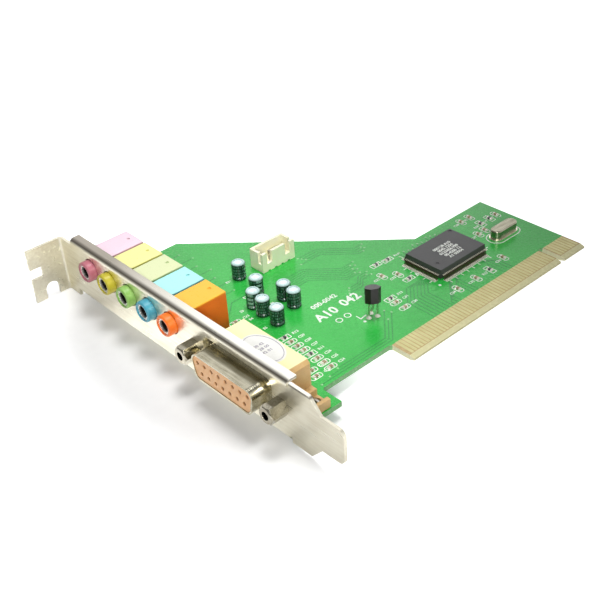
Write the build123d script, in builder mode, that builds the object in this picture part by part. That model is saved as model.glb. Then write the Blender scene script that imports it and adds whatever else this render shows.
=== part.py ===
from build123d import *
import os

# Sound card for a computer's expansion slot, lying with its parts upwards.
# All lengths are in millimetres. Places on the card are measured from one corner point: X from
# the outside of the bracket's plate into the card, Y from the tip of the contact edge towards
# the bracket's tab, Z from the upper face of the board.

# Circuit board
board_thickness = 1.57
board_gap = 0.22  # between the bracket's plate and the board's edge
top_edge_length = 32.1  # straight part of the top edge, beside the bracket
tail_length = 31.2  # far part of the board, with its top edge level again
tail_height = 39.7
tongue_height = 8.26
key_from_edge = 104.47  # from the board's bracket edge to the middle of the key slot
tongue_before_key = 64.41
key_width = 1.91
key_depth = 7.6
bevel_length = 1.6
bevel_depth = 0.5
board_rim = 1.56  # board left above the last jack
foot_margin = 0.43  # board left below the game port's lower foot
foot_rim = 3.3  # board left behind the game port's lower foot
inner_corner_radius = 1.0
lead_reach = 1.2  # how far leads stand out below the board
hole_clearance = 0.12  # between a lead's corner and its hole

# Contact strips
contact_pitch = 1.27
contact_width = 0.95
contact_thickness = 0.05
contacts_before_key = 49
contacts_after_key = 7
contact_tip_gap = 0.25  # bare strip between the bevel and the contacts
contact_root_gap = 0.3  # between the contacts' upper ends and the top of the tongue
contact_edge_margin = 0.69  # board left beyond the last contact

# Bracket
sheet = 0.86
bracket_length = 120.02
bracket_drop = 3.5  # how far the channel reaches below the board's upper face
flange_depth = 3.4
flange_clearance = 0.94  # between the jacks' tops and the upper flange
bend_radius = 0.7  # inside of each fold
tab_depth = 11.43
tab_height = 103.8  # outside of the tab above the contact edge
tab_drop = 1.1  # the tab reaches lower than the channel
tab_step = 1.75  # the tab's upper edge lies below the channel's
neck_length = 6.6
screw_notch_width = 4.42
screw_notch_depth = 4.9
screw_notch_place = 5.6  # middle of the notch from the bracket's face
guide_notch_width = 3.4
guide_notch_depth = 3.8
guide_notch_place = 9.6  # middle of the notch above the tab's lower edge
flange_stop_place = 18.92  # lower end of the flanges above the tip
relief_width = 0.9
shoulder_place = 11.2  # start of the shoulders above the tip
shoulder_length = 3.8
lower_tongue_width = 10.2
lower_tongue_rise = 4.1  # lower tongue's edge above the channel's lower edge
lower_tongue_radius = 2.0

# Jacks
jack_width = 8.8
jack_gap = 0.76  # between neighbouring housings
jack_depth = 14.8
jack_height = 13.1
jack_axis_drop = 4.2  # axis below the top of the housing
jack_seat = 0.1  # between the bracket's plate and the housings
jack_wall = 1.0
jack_edge_radius = 0.35
barrel_radius = 3.1
barrel_reach = 2.55  # in front of the bracket's plate
barrel_chamfer = 0.3
barrel_clearance = 0.25
plug_radius = 1.8
bush_wall = 0.5
bush_fit = 0.03
bush_recess = 0.35
bush_length = 6.8
dimple_radius = 0.5
dimple_depth = 0.3
dimple_place = 2.2  # from the housing's rear face
terminal_sheet = 0.4
terminal_width = 1.2
terminal_clearance = 0.3  # between the springs and a plug

# Game port
port_place = 21.48  # middle of the port above the contact edge
port_lift = 0.1  # the port's flange clears the board's upper face
port_flange_end = 2.92  # from a jack screw's middle to the flange's end
port_flange_height = 12.5
port_to_jacks = 3.25  # between the port's flange and the nearest jack
port_reach = 5.0  # in front of the bracket's plate
port_mouth_width = 24.66
port_mouth_height = 7.9
port_mouth_radius = 2.4
port_slant = 1.4  # each side leans in by this from top to bottom
port_sheet = 0.5
port_fit = 0.05
port_opening_margin = 1.0  # opening in the bracket beyond the port's mouth, along its length
port_opening_rim = 0.45  # opening in the bracket inside the flange's height
insulator_recess = 0.2
insulator_flange = 1.64
socket_pitch = 2.77
socket_row_gap = 2.84
sockets_in_upper_row = 8
socket_radius = 0.6
contact_wire = 0.6
contact_setback = 1.6  # from the insulator's face to the contacts
housing_depth = 9.67
housing_length = 26.2
housing_height = 10.9
housing_wall = 1.0
housing_chamfer = 1.0
tail_setback = 1.35  # from the housing's rear face to the rear row of tails
tail_row_gap = 2.84
port_screw_spacing = 33.3
foot_length = 6.4
foot_base_height = 1.2
foot_wall = 1.2
foot_wall_height = 2.6
foot_wall_depth = 6.0
foot_post_length = 2.0
foot_post_depth = 2.8
foot_post_height = 3.0
lock_setback = 1.9  # from the housing's rear face to the board locks
lock_hole_radius = 1.3
lock_prong = 0.6
lock_head_length = 2.9
lock_head_height = 0.4
lock_gap = 1.0
lock_barb = 0.3

# Jack screws and nuts
hex_across_flats = 4.75
hex_length = 5.3
hex_chamfer = 0.45
thread_radius = 1.35
thread_fit = 0.05
socket_thread_radius = 1.2
socket_thread_depth = 4.2
nut_radius = 2.5
screw_hole_clearance = 0.3

# Sticker
sticker_length = 14.0
sticker_rim = 0.2  # housing left bare on each side of the sticker
sticker_thickness = 0.12
sticker_shift = 1.3  # towards the lower end of the port

# Audio header
header_length = 12.5
header_width = 5.8
header_height = 6.3
header_wall = 0.9
header_floor = 1.6
header_slot = 1.95
header_slot_spread = 7.05
header_slot_sill = 2.6
header_end_slot = 1.1
header_standoff = 0.35
header_standoff_width = 1.0
header_pin = 0.64
header_pin_pitch = 2.54
header_pin_top = 4.6
header_pin_count = 4

# Electrolytic capacitors
can_radius = 1.95
can_height = 5.35
can_lift = 0.15
can_edge = 0.3
sleeve_thickness = 0.14
sleeve_lip = 0.35
bead_height = 1.0
bead_depth = 0.22
bead_half_width = 0.35
bung_radius = 1.5
capacitor_lead = 0.45
capacitor_lead_pitch = 1.5

# Regulator on three legs
regulator_radius = 2.28
regulator_flat = 1.35  # from the axis to the flat
regulator_flat_width = 2.2
regulator_height = 4.4
regulator_lift = 4.85
regulator_lean = 12.0  # the body leans back and a little sideways on its legs
regulator_lean_turn = -45.0  # line about which it leans
regulator_leg = 0.45
regulator_leg_pitch = 1.27
regulator_leg_set = 1.9  # the middle leg's foot stands back by this
regulator_turn = -25.0

# Sound chip
chip_length = 20.0
chip_width = 14.0
chip_height = 2.85
chip_lift = 0.25
chip_parting = 1.5  # height of the lead plane above the board
chip_draft = 8.0
chip_dimple_radius = 0.55
chip_dimple_depth = 0.15
chip_dimple_inset = 1.3  # mark near the far corner
chip_mark_x = 2.45  # mark near the first lead
chip_mark_y = 3.5
lead_pitch = 0.5
leads_on_long_side = 38
leads_on_short_side = 26
lead_width = 0.22
lead_thickness = 0.16
lead_shoulder = 0.45
lead_slope = 0.35
lead_foot = 0.8

# Crystal
crystal_length = 10.3
crystal_width = 3.7
crystal_height = 3.25
crystal_edge = 0.35
crystal_base_rim = 0.4
crystal_base_thickness = 0.5
crystal_lead = 0.4
crystal_lead_pitch = 4.88

# Places of the larger parts on the board
port_row_from_housing = 10.9  # row of small parts behind the game port
port_row_start = 9.5  # first of the row above the port's middle
port_row_pitch = 2.57
port_row_count = 8
header_from_jacks = 31.15  # behind the jacks' rear faces
header_above_jack = 13.6  # above the middle of the nearest jack
regulator_from_tongue = 5.75  # beyond the start of the tongue
regulator_above_tongue = 12.1
chip_before_key = 22.45
chip_above_tongue = 17.6
crystal_before_end = 11.0  # from the far end of the board
crystal_below_top = 18.0  # below the level top edge of the far part

# Chip resistors and chip capacitors
chip_part_length = 1.6
chip_part_width = 0.85
chip_part_height = 0.5
end_cap_length = 0.35

# Heights and distances that follow from the sizes above
board_start = sheet + board_gap
board_under = -board_thickness
key_place = board_start + key_from_edge
tongue_start = key_place - tongue_before_key
last_contact = key_place + contact_pitch / 2 + contacts_after_key * contact_pitch
board_end = last_contact + contact_width / 2 + contact_edge_margin
slope_start = board_start + top_edge_length
slope_end = board_end - tail_length

jack_pitch = jack_width + jack_gap
jack_front = sheet + jack_seat
jack_back = jack_front + jack_depth
jack_axis = jack_height - jack_axis_drop
port_flange_length = port_screw_spacing + 2 * port_flange_end
nearest_jack = port_place + port_flange_length / 2 + port_to_jacks + jack_width / 2
jack_names = ["orange", "blue", "green", "yellow", "pink"]
jack_places = [nearest_jack + jack_pitch * number for number in range(len(jack_names))]
board_height = jack_places[-1] + jack_width / 2 + board_rim

bracket_rise = jack_height + flange_clearance + sheet
bracket_floor = -bracket_drop
bracket_tip = tab_height - bracket_length
flange_stop = bracket_tip + flange_stop_place
tab_floor = bracket_floor - tab_drop
tab_top = bracket_rise - tab_step
channel_top = tab_height - neck_length
channel_bottom = bracket_tip + shoulder_place

port_level = port_lift + port_flange_height / 2
port_flange_back = sheet + port_sheet
housing_front = port_flange_back + insulator_flange
housing_back = housing_front + housing_depth
screw_places = [port_place + port_screw_spacing / 2, port_place - port_screw_spacing / 2]
lock_place = housing_back - lock_setback
board_foot_end = housing_back + foot_rim
board_foot_tip = screw_places[1] - foot_length / 2 - foot_margin

# The part's own origin lies under the middle of the whole card, on the surface that it lies on.
datum_x = -(board_end - tab_depth) / 2
datum_y = -(tab_height + bracket_tip) / 2
datum_z = -tab_floor


def place(x, y, z):
    """A point of the card, measured from its corner point, in the part's own frame."""
    return Vector(datum_x + x, datum_y + y, datum_z + z)


def level(z):
    """Level plane at a height above the board; its own axes are the card's X and Y."""
    return Plane(origin=place(0, 0, z))


def upright(x):
    """Plane square to X, at a distance behind the bracket's face; its axes are Y and Z."""
    return Plane(origin=place(x, 0, 0), x_dir=(0, 1, 0), z_dir=(1, 0, 0))


def section(y):
    """Plane square to Y, at a height above the contact edge; its axes are X and Z."""
    return Plane(origin=place(0, y, 0), x_dir=(1, 0, 0), z_dir=(0, -1, 0))


def post(x, y):
    """Plane through a vertical axis that stands at x, y; its axes are X and Z."""
    return Plane(origin=place(x, y, 0), x_dir=(1, 0, 0), z_dir=(0, -1, 0))


def port_outline(grow):
    """The game port's D-shaped outline, larger all round by the given amount."""
    half_top = port_mouth_width / 2 + grow
    half_bottom = half_top - port_slant
    half_height = port_mouth_height / 2 + grow
    with BuildSketch() as outline:
        with BuildLine():
            Polyline(
                (-half_bottom, -half_height),
                (half_bottom, -half_height),
                (half_top, half_height),
                (-half_top, half_height),
                close=True,
            )
        make_face()
        fillet(outline.vertices(), port_mouth_radius + grow)
    return outline.sketch


def keep(piece, name):
    """Label a finished piece and write its file."""
    piece.part.label = name
    export_step(piece.part, f"parts/{name}.step")


os.makedirs("parts", exist_ok=True)

# Places of the small parts, each measured from the larger part that it belongs to
port_row = [
    (housing_back + port_row_from_housing, port_place + port_row_start - port_row_pitch * number)
    for number in range(port_row_count)
]
capacitor_places = [
    (jack_back + x, nearest_jack + y)
    for x, y in [(18.6, 14.4), (17.0, 4.5), (12.0, -0.1), (11.4, -4.9), (11.3, -11.0), (20.5, -3.4), (20.0, -8.2)]
]
header_place = (jack_back + header_from_jacks, nearest_jack + header_above_jack)
regulator_place = (tongue_start + regulator_from_tongue, tongue_height + regulator_above_tongue)
chip_place = (key_place - chip_before_key, tongue_height + chip_above_tongue)
crystal_place = (board_end - crystal_before_end, tail_height - crystal_below_top)

along_x_resistors = [
    port_row[0],
    port_row[4],
    (chip_place[0] - 16.8, chip_place[1] + 12.3),
    (chip_place[0] - 12.4, chip_place[1] + 11.8),
    (chip_place[0] - 15.6, chip_place[1] + 0.2),
    (tongue_start + 15.3, tongue_height + 14.7),
]
along_x_capacitors = [
    port_row[1],
    port_row[2],
    port_row[3],
    port_row[5],
    port_row[6],
    port_row[7],
    (housing_back + 6.3, port_place - 6.1),
    (housing_back + 5.6, port_place - 8.7),
    (jack_back + 3.2, nearest_jack - 2.4),
    (tongue_start + 15.0, tongue_height + 12.3),
    (tongue_start + 15.0, tongue_height + 8.9),
]
along_y_resistors = [
    (board_end - 6.4, tail_height - 8.9),
    (board_end - 10.7, tail_height - 9.0),
    (chip_place[0] + 3.7, chip_place[1] - 13.8),
]
along_y_capacitors = [
    (board_end - 10.1, tail_height - 3.9),
    (board_end - 14.1, tail_height - 3.9),
    (board_end - 3.2, tail_height - 8.8),
    (board_end - 16.2, tail_height - 12.6),
    (board_end - 12.9, tail_height - 12.3),
    (chip_place[0] + 11.5, chip_place[1] - 12.4),
    (chip_place[0] - 2.4, chip_place[1] - 13.8),
    (chip_place[0] - 10.1, chip_place[1] - 13.5),
    (chip_place[0] - 20.0, chip_place[1] + 6.7),
    (chip_place[0] - 16.1, chip_place[1] + 4.0),
]

# Where each jack's terminals go through the board, measured from the jack's own middle
terminal_reach = plug_radius + terminal_clearance + terminal_sheet / 2
switch_reach = terminal_reach + terminal_sheet * 2
lug_x = flange_depth + terminal_sheet * 1.5
tip_x = jack_back - jack_wall - terminal_width * 0.8
ring_x = tip_x - terminal_width * 2.2
terminal_spots = [
    (lug_x, 0.0),
    (tip_x, terminal_reach),
    (ring_x, -terminal_reach),
    (ring_x - terminal_width * 1.8, switch_reach),
    (tip_x, -switch_reach),
]
jack_holes = [(x, middle + y) for middle in jack_places for x, y in terminal_spots]

# Contacts of the game port, upper row first, as offsets along the port
upper_sockets = [
    (number - (sockets_in_upper_row - 1) / 2) * socket_pitch for number in range(sockets_in_upper_row)
]
lower_sockets = [
    (number - (sockets_in_upper_row - 2) / 2) * socket_pitch for number in range(sockets_in_upper_row - 1)
]
upper_tail = housing_back - tail_setback
lower_tail = upper_tail - tail_row_gap
port_holes = [(upper_tail, port_place + offset) for offset in upper_sockets]
port_holes += [(lower_tail, port_place + offset) for offset in lower_sockets]
lock_holes = [(lock_place, middle) for middle in screw_places]

header_pins = [
    (header_place[0] + (number - (header_pin_count - 1) / 2) * header_pin_pitch, header_place[1])
    for number in range(header_pin_count)
]
capacitor_leads = [
    (x, y + side * capacitor_lead_pitch / 2) for x, y in capacitor_places for side in (-1, 1)
]
crystal_leads = [
    (crystal_place[0] + side * crystal_lead_pitch / 2, crystal_place[1]) for side in (-1, 1)
]
leg_line = Vector(1, 0, 0).rotate(Axis.Z, regulator_turn)
leg_back = leg_line.rotate(Axis.Z, 90)
lean_axis = Axis((0, 0, 0), Vector(1, 0, 0).rotate(Axis.Z, regulator_lean_turn))
regulator_up = Vector(0, 0, 1).rotate(lean_axis, -regulator_lean)
regulator_side = leg_line.rotate(lean_axis, -regulator_lean)
regulator_feet = [
    leg_line * -regulator_leg_pitch,
    leg_back * regulator_leg_set,
    leg_line * regulator_leg_pitch,
]
regulator_holes = [(regulator_place[0] + foot.X, regulator_place[1] + foot.Y) for foot in regulator_feet]


def lead_hole(width, thickness):
    """Radius of the hole that a square or flat lead goes through."""
    return (width**2 + thickness**2) ** 0.5 / 2 + hole_clearance


# Circuit board
with BuildPart() as circuit_board:
    with BuildSketch(level(board_under)) as board_outline:
        with BuildLine():
            Polyline(
                (board_start, board_foot_tip),
                (board_foot_end, board_foot_tip),
                (board_foot_end, tongue_height),
                (tongue_start, tongue_height),
                (tongue_start, 0),
                (board_end, 0),
                (board_end, tail_height),
                (slope_end, tail_height),
                (slope_start, board_height),
                (board_start, board_height),
                close=True,
            )
        make_face()
        level_of_tongue = board_outline.vertices().filter_by_position(
            Axis.Y, tongue_height - 0.01, tongue_height + 0.01
        )
        fillet(level_of_tongue, inner_corner_radius)
        with Locations((key_place, 0)):
            Rectangle(key_width, key_depth, align=(Align.CENTER, Align.MIN), mode=Mode.SUBTRACT)
        with Locations((key_place, key_depth)):
            Circle(key_width / 2, mode=Mode.SUBTRACT)
        with Locations(*jack_holes):
            Circle(lead_hole(terminal_width, terminal_sheet), mode=Mode.SUBTRACT)
        with Locations(*port_holes):
            Circle(lead_hole(contact_wire, contact_wire), mode=Mode.SUBTRACT)
        with Locations(*lock_holes):
            Circle(lock_hole_radius, mode=Mode.SUBTRACT)
        with Locations(*header_pins):
            Circle(lead_hole(header_pin, header_pin), mode=Mode.SUBTRACT)
        with Locations(*capacitor_leads):
            Circle(lead_hole(capacitor_lead, capacitor_lead), mode=Mode.SUBTRACT)
        with Locations(*crystal_leads):
            Circle(lead_hole(crystal_lead, crystal_lead), mode=Mode.SUBTRACT)
        with Locations(*regulator_holes):
            Circle(lead_hole(regulator_leg, regulator_leg), mode=Mode.SUBTRACT)
    extrude(amount=board_thickness)
    # both faces of the tongue's tip are bevelled
    with BuildSketch(upright(tongue_start)):
        with BuildLine():
            Polyline((0, 0), (bevel_length, 0), (0, -bevel_depth), close=True)
        make_face()
        with BuildLine():
            Polyline((0, board_under), (0, board_under + bevel_depth), (bevel_length, board_under), close=True)
        make_face()
    extrude(amount=board_end - tongue_start, mode=Mode.SUBTRACT)
keep(circuit_board, "circuit_board")

# Contact strips on both faces of the tongue
contact_bottom = bevel_length + contact_tip_gap
contact_top = tongue_height - contact_root_gap
contact_middle = (contact_bottom + contact_top) / 2
before_key = [key_place - contact_pitch * (number + 0.5) for number in range(1, contacts_before_key + 1)]
after_key = [key_place + contact_pitch * (number + 0.5) for number in range(1, contacts_after_key + 1)]
contact_spots = [(x, contact_middle) for x in before_key + after_key]

with BuildPart() as front_contacts:
    with BuildSketch(level(0)):
        with Locations(*contact_spots):
            Rectangle(contact_width, contact_top - contact_bottom)
    extrude(amount=contact_thickness)
keep(front_contacts, "front_contacts")

with BuildPart() as rear_contacts:
    with BuildSketch(level(board_under)):
        with Locations(*contact_spots):
            Rectangle(contact_width, contact_top - contact_bottom)
    extrude(amount=-contact_thickness)
keep(rear_contacts, "rear_contacts")

# Bracket: a channel with two flanges, a neck folded over into the tab, and a narrow lower tongue
with BuildPart() as mounting_bracket:
    with BuildSketch(section(channel_top)) as channel:
        with BuildLine():
            Polyline(
                (flange_depth, bracket_floor),
                (0, bracket_floor),
                (0, bracket_rise),
                (flange_depth, bracket_rise),
                (flange_depth, bracket_rise - sheet),
                (sheet, bracket_rise - sheet),
                (sheet, bracket_floor + sheet),
                (flange_depth, bracket_floor + sheet),
                close=True,
            )
        make_face()
        outer_folds = channel.vertices().group_by(Axis.X)[0]
        fillet(outer_folds, bend_radius + sheet)
        inner_folds = channel.vertices().filter_by_position(Axis.X, sheet - 0.01, sheet + 0.01)
        fillet(inner_folds, bend_radius)
    extrude(amount=channel_top - flange_stop)
    # neck and tab, folded outwards
    with BuildSketch(level(tab_floor)) as neck:
        with BuildLine():
            Polyline(
                (0, channel_top),
                (sheet, channel_top),
                (sheet, tab_height),
                (-tab_depth, tab_height),
                (-tab_depth, tab_height - sheet),
                (0, tab_height - sheet),
                close=True,
            )
        make_face()
        fold_outside = neck.vertices().group_by(Axis.Y)[-1].sort_by(Axis.X)[-1]
        fillet(fold_outside, bend_radius + sheet)
        fold_inside = neck.vertices().group_by(Axis.Y)[-2].sort_by(Axis.X)[-1]
        fillet(fold_inside, bend_radius)
    extrude(amount=tab_top - tab_floor)
    # flat plate below the flanges, shoulders and lower tongue
    tongue_floor = bracket_floor + lower_tongue_rise
    tongue_roof = tongue_floor + lower_tongue_width
    with BuildSketch(upright(0)) as lower_end:
        with BuildLine():
            Polyline(
                (flange_stop, bracket_floor),
                (channel_bottom, bracket_floor),
                (channel_bottom - shoulder_length, tongue_floor),
                (bracket_tip, tongue_floor),
                (bracket_tip, tongue_roof),
                (channel_bottom - shoulder_length, tongue_roof),
                (channel_bottom, bracket_rise),
                (flange_stop, bracket_rise),
                close=True,
            )
        make_face()
        fillet(lower_end.vertices().group_by(Axis.X)[0], lower_tongue_radius)
        # small reliefs where the folds end
        relief_depth = 2 * (bend_radius + sheet)
        with Locations((flange_stop, bracket_floor), (flange_stop, bracket_rise)):
            Rectangle(relief_width, relief_depth, align=(Align.MAX, Align.CENTER), mode=Mode.SUBTRACT)
    extrude(amount=sheet)
    # openings for the jacks, the game port and its screws
    with BuildSketch(upright(0)):
        with Locations(*[(middle, jack_axis) for middle in jack_places]):
            Circle(barrel_radius + barrel_clearance)
        with Locations((port_place, port_level)):
            RectangleRounded(
                port_mouth_width + 2 * port_opening_margin,
                port_flange_height - 2 * port_opening_rim,
                port_mouth_radius,
            )
        with Locations(*[(middle, port_level) for middle in screw_places]):
            Circle(thread_radius + screw_hole_clearance)
    extrude(amount=sheet, mode=Mode.SUBTRACT)
    # screw notch in the tab's lower edge and guide notch in its free edge
    with BuildSketch(section(tab_height)):
        with Locations((-screw_notch_place, tab_floor)):
            Rectangle(
                screw_notch_width,
                screw_notch_depth - screw_notch_width / 2,
                align=(Align.CENTER, Align.MIN),
            )
        with Locations((-screw_notch_place, tab_floor + screw_notch_depth - screw_notch_width / 2)):
            Circle(screw_notch_width / 2)
        with Locations((-tab_depth, tab_floor + guide_notch_place)):
            Rectangle(guide_notch_depth, guide_notch_width, align=(Align.MIN, Align.CENTER))
    extrude(amount=sheet, mode=Mode.SUBTRACT)
keep(mounting_bracket, "mounting_bracket")

# Jacks: housing with barrel, plated bush, and terminals
bore_radius = plug_radius + bush_wall + bush_fit
bush_start = bush_recess - barrel_reach
bush_end = bush_start + bush_length
cavity_front = jack_front + jack_wall
for name, middle in zip(jack_names, jack_places):
    with BuildPart() as jack_housing:
        with BuildSketch(level(0)) as footprint:
            with Locations((jack_front, middle)):
                Rectangle(jack_depth, jack_width, align=(Align.MIN, Align.CENTER))
            fillet(footprint.vertices(), jack_edge_radius)
        extrude(amount=jack_height)
        top_edges = jack_housing.faces().sort_by(Axis.Z)[-1].edges()
        chamfer(top_edges, jack_edge_radius / 2)
        with BuildSketch(upright(jack_front)):
            with Locations((middle, jack_axis)):
                Circle(barrel_radius)
        extrude(amount=-(jack_front + barrel_reach))
        barrel_rim = jack_housing.faces().sort_by(Axis.X)[0].edges()
        chamfer(barrel_rim, barrel_chamfer)
        with BuildSketch(upright(-barrel_reach)):
            with Locations((middle, jack_axis)):
                Circle(bore_radius)
        extrude(amount=cavity_front + barrel_reach, mode=Mode.SUBTRACT)
        with BuildSketch(level(0)):
            with Locations((cavity_front, middle)):
                Rectangle(
                    jack_depth - 2 * jack_wall,
                    jack_width - 2 * jack_wall,
                    align=(Align.MIN, Align.CENTER),
                )
        extrude(amount=jack_height - jack_wall, mode=Mode.SUBTRACT)
        # small ejector mark in the roof
        with BuildSketch(level(jack_height)):
            with Locations((jack_back - dimple_place, middle)):
                Circle(dimple_radius)
        extrude(amount=-dimple_depth, mode=Mode.SUBTRACT)
    keep(jack_housing, f"{name}_jack_housing")

    with BuildPart() as jack_bush:
        with BuildSketch(upright(bush_start)):
            with Locations((middle, jack_axis)):
                Circle(plug_radius + bush_wall)
                Circle(plug_radius, mode=Mode.SUBTRACT)
        extrude(amount=bush_length)
    keep(jack_bush, f"{name}_jack_bush")

    lead_tip = board_under - lead_reach
    with BuildPart() as jack_terminals:
        # lug that stands under the bush
        with BuildSketch(upright(lug_x)):
            with Locations((middle, lead_tip)):
                Rectangle(
                    terminal_width,
                    jack_axis - plug_radius - bush_wall - lead_tip,
                    align=(Align.CENTER, Align.MIN),
                )
        extrude(amount=terminal_sheet / 2, both=True)
        # tip and ring springs: upright strip with an arm along the plug
        for leg_x, offset, arm in [(tip_x, terminal_reach, 4.2), (ring_x, -terminal_reach, 3.2)]:
            with BuildSketch(section(middle + offset)):
                with BuildLine():
                    Polyline(
                        (leg_x - terminal_width / 2, lead_tip),
                        (leg_x + terminal_width / 2, lead_tip),
                        (leg_x + terminal_width / 2, jack_axis + terminal_width / 2),
                        (leg_x - arm, jack_axis + terminal_width / 2),
                        (leg_x - arm, jack_axis - terminal_width / 2),
                        (leg_x - terminal_width / 2, jack_axis - terminal_width / 2),
                        close=True,
                    )
                make_face()
            extrude(amount=terminal_sheet / 2, both=True)
        # switch contacts behind the springs
        for leg_x, offset in [(terminal_spots[3]), (terminal_spots[4])]:
            with BuildSketch(section(middle + offset)):
                with Locations((leg_x, lead_tip)):
                    Rectangle(
                        terminal_width,
                        jack_axis + terminal_width / 2 - lead_tip,
                        align=(Align.CENTER, Align.MIN),
                    )
            extrude(amount=terminal_sheet / 2, both=True)
    keep(jack_terminals, f"{name}_jack_terminals")

# Game port: drawn shell with its flange
with BuildPart() as game_port_shell:
    with BuildSketch(upright(sheet)) as flange:
        with Locations((port_place, port_level)):
            RectangleRounded(port_flange_length, port_flange_height, port_mouth_radius)
        with Locations(*[(middle, port_level) for middle in screw_places]):
            Circle(thread_radius + screw_hole_clearance, mode=Mode.SUBTRACT)
    extrude(amount=port_sheet)
    with BuildSketch(upright(-port_reach)):
        with Locations((port_place, port_level)):
            add(port_outline(0))
    extrude(amount=port_reach + sheet)
    with BuildSketch(upright(-port_reach)):
        with Locations((port_place, port_level)):
            add(port_outline(-port_sheet))
    extrude(amount=port_reach + port_flange_back, mode=Mode.SUBTRACT)
keep(game_port_shell, "game_port_shell")

# Game port: insulator with its rows of contact holes
socket_spots = [(port_place + offset, port_level + socket_row_gap / 2) for offset in upper_sockets]
socket_spots += [(port_place + offset, port_level - socket_row_gap / 2) for offset in lower_sockets]
insulator_face = insulator_recess - port_reach
with BuildPart() as game_port_insulator:
    with BuildSketch(upright(insulator_face)):
        with Locations((port_place, port_level)):
            add(port_outline(-port_sheet - port_fit))
    extrude(amount=housing_front - insulator_face)
    with BuildSketch(upright(port_flange_back)):
        with Locations((port_place, port_level)):
            RectangleRounded(port_flange_length, port_flange_height, port_mouth_radius)
        with Locations(*[(middle, port_level) for middle in screw_places]):
            Circle(nut_radius + port_fit, mode=Mode.SUBTRACT)
    extrude(amount=insulator_flange)
    with BuildSketch(upright(insulator_face)):
        with Locations(*socket_spots):
            Circle(socket_radius)
    extrude(amount=housing_front - insulator_face, mode=Mode.SUBTRACT)
keep(game_port_insulator, "game_port_insulator")

# Game port: rear block, open below, with a foot at each end
with BuildPart() as game_port_housing:
    with BuildSketch(section(port_place + housing_length / 2)) as block:
        with Locations((housing_front, 0)):
            Rectangle(housing_depth, housing_height, align=(Align.MIN, Align.MIN))
    extrude(amount=housing_length)
    end_edges = game_port_housing.faces().sort_by(Axis.Z)[-1].edges().filter_by(Axis.X)
    chamfer(end_edges, housing_chamfer)
    with BuildSketch(level(0)):
        with Locations((housing_front, port_place)):
            Rectangle(
                housing_depth - housing_wall,
                housing_length - 2 * housing_wall,
                align=(Align.MIN, Align.CENTER),
            )
    extrude(amount=housing_height - 1.5 * housing_wall, mode=Mode.SUBTRACT)
    for middle, side in zip(screw_places, (1, -1)):
        block_end = port_place + side * housing_length / 2
        foot_end = middle + side * foot_length / 2
        with BuildSketch(level(0)):
            with Locations((housing_front, (block_end + foot_end) / 2)):
                Rectangle(housing_depth, abs(foot_end - block_end), align=(Align.MIN, Align.CENTER))
        extrude(amount=foot_base_height)
        with BuildSketch(level(0)):
            with Locations((housing_back, foot_end - side * foot_wall / 2)):
                Rectangle(foot_wall_depth, foot_wall, align=(Align.MAX, Align.CENTER))
        extrude(amount=foot_wall_height)
        with BuildSketch(level(0)):
            with Locations((housing_back, block_end + side * foot_post_length / 2)):
                Rectangle(foot_post_depth, foot_post_length, align=(Align.MAX, Align.CENTER))
        extrude(amount=foot_post_height)
    with BuildSketch(level(0)):
        with Locations(*lock_holes):
            Circle(lock_hole_radius)
    extrude(amount=foot_base_height, mode=Mode.SUBTRACT)
keep(game_port_housing, "game_port_housing")

# Game port: right-angle contacts
contact_start = insulator_face + contact_setback
half_wire = contact_wire / 2
with BuildPart() as game_port_contacts:
    for offsets, row, tail in [
        (upper_sockets, port_level + socket_row_gap / 2, upper_tail),
        (lower_sockets, port_level - socket_row_gap / 2, lower_tail),
    ]:
        with BuildSketch(*[section(port_place + offset) for offset in offsets]):
            with BuildLine():
                Polyline(
                    (contact_start, row - half_wire),
                    (tail - half_wire, row - half_wire),
                    (tail - half_wire, board_under - lead_reach),
                    (tail + half_wire, board_under - lead_reach),
                    (tail + half_wire, row + half_wire),
                    (contact_start, row + half_wire),
                    close=True,
                )
            make_face()
        extrude(amount=half_wire, both=True)
keep(game_port_contacts, "game_port_contacts")

# Game port: forked clips that hold the feet to the board
with BuildPart() as game_port_board_locks:
    prong_out = lock_gap / 2 + lock_prong
    barb_top = board_under - 0.05
    head_top = foot_base_height + lock_head_height
    for middle in screw_places:
        with BuildSketch(upright(lock_place)):
            with BuildLine():
                Polyline(
                    (middle - lock_head_length / 2, head_top),
                    (middle - lock_head_length / 2, foot_base_height),
                    (middle - prong_out, foot_base_height),
                    (middle - prong_out, barb_top),
                    (middle - prong_out - lock_barb, barb_top),
                    (middle - lock_gap / 2, board_under - lead_reach),
                    (middle - lock_gap / 2, foot_base_height),
                    (middle + lock_gap / 2, foot_base_height),
                    (middle + lock_gap / 2, board_under - lead_reach),
                    (middle + prong_out + lock_barb, barb_top),
                    (middle + prong_out, barb_top),
                    (middle + prong_out, foot_base_height),
                    (middle + lock_head_length / 2, foot_base_height),
                    (middle + lock_head_length / 2, head_top),
                    close=True,
                )
            make_face()
        extrude(amount=lock_prong / 2, both=True)
keep(game_port_board_locks, "game_port_board_locks")

# Game port: nuts behind the flange and hexagon jack screws in front of the bracket
with BuildPart() as game_port_nuts:
    with BuildSketch(upright(port_flange_back)):
        with Locations(*[(middle, port_level) for middle in screw_places]):
            Circle(nut_radius)
            Circle(thread_radius + thread_fit, mode=Mode.SUBTRACT)
    extrude(amount=insulator_flange)
keep(game_port_nuts, "game_port_nuts")

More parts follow.
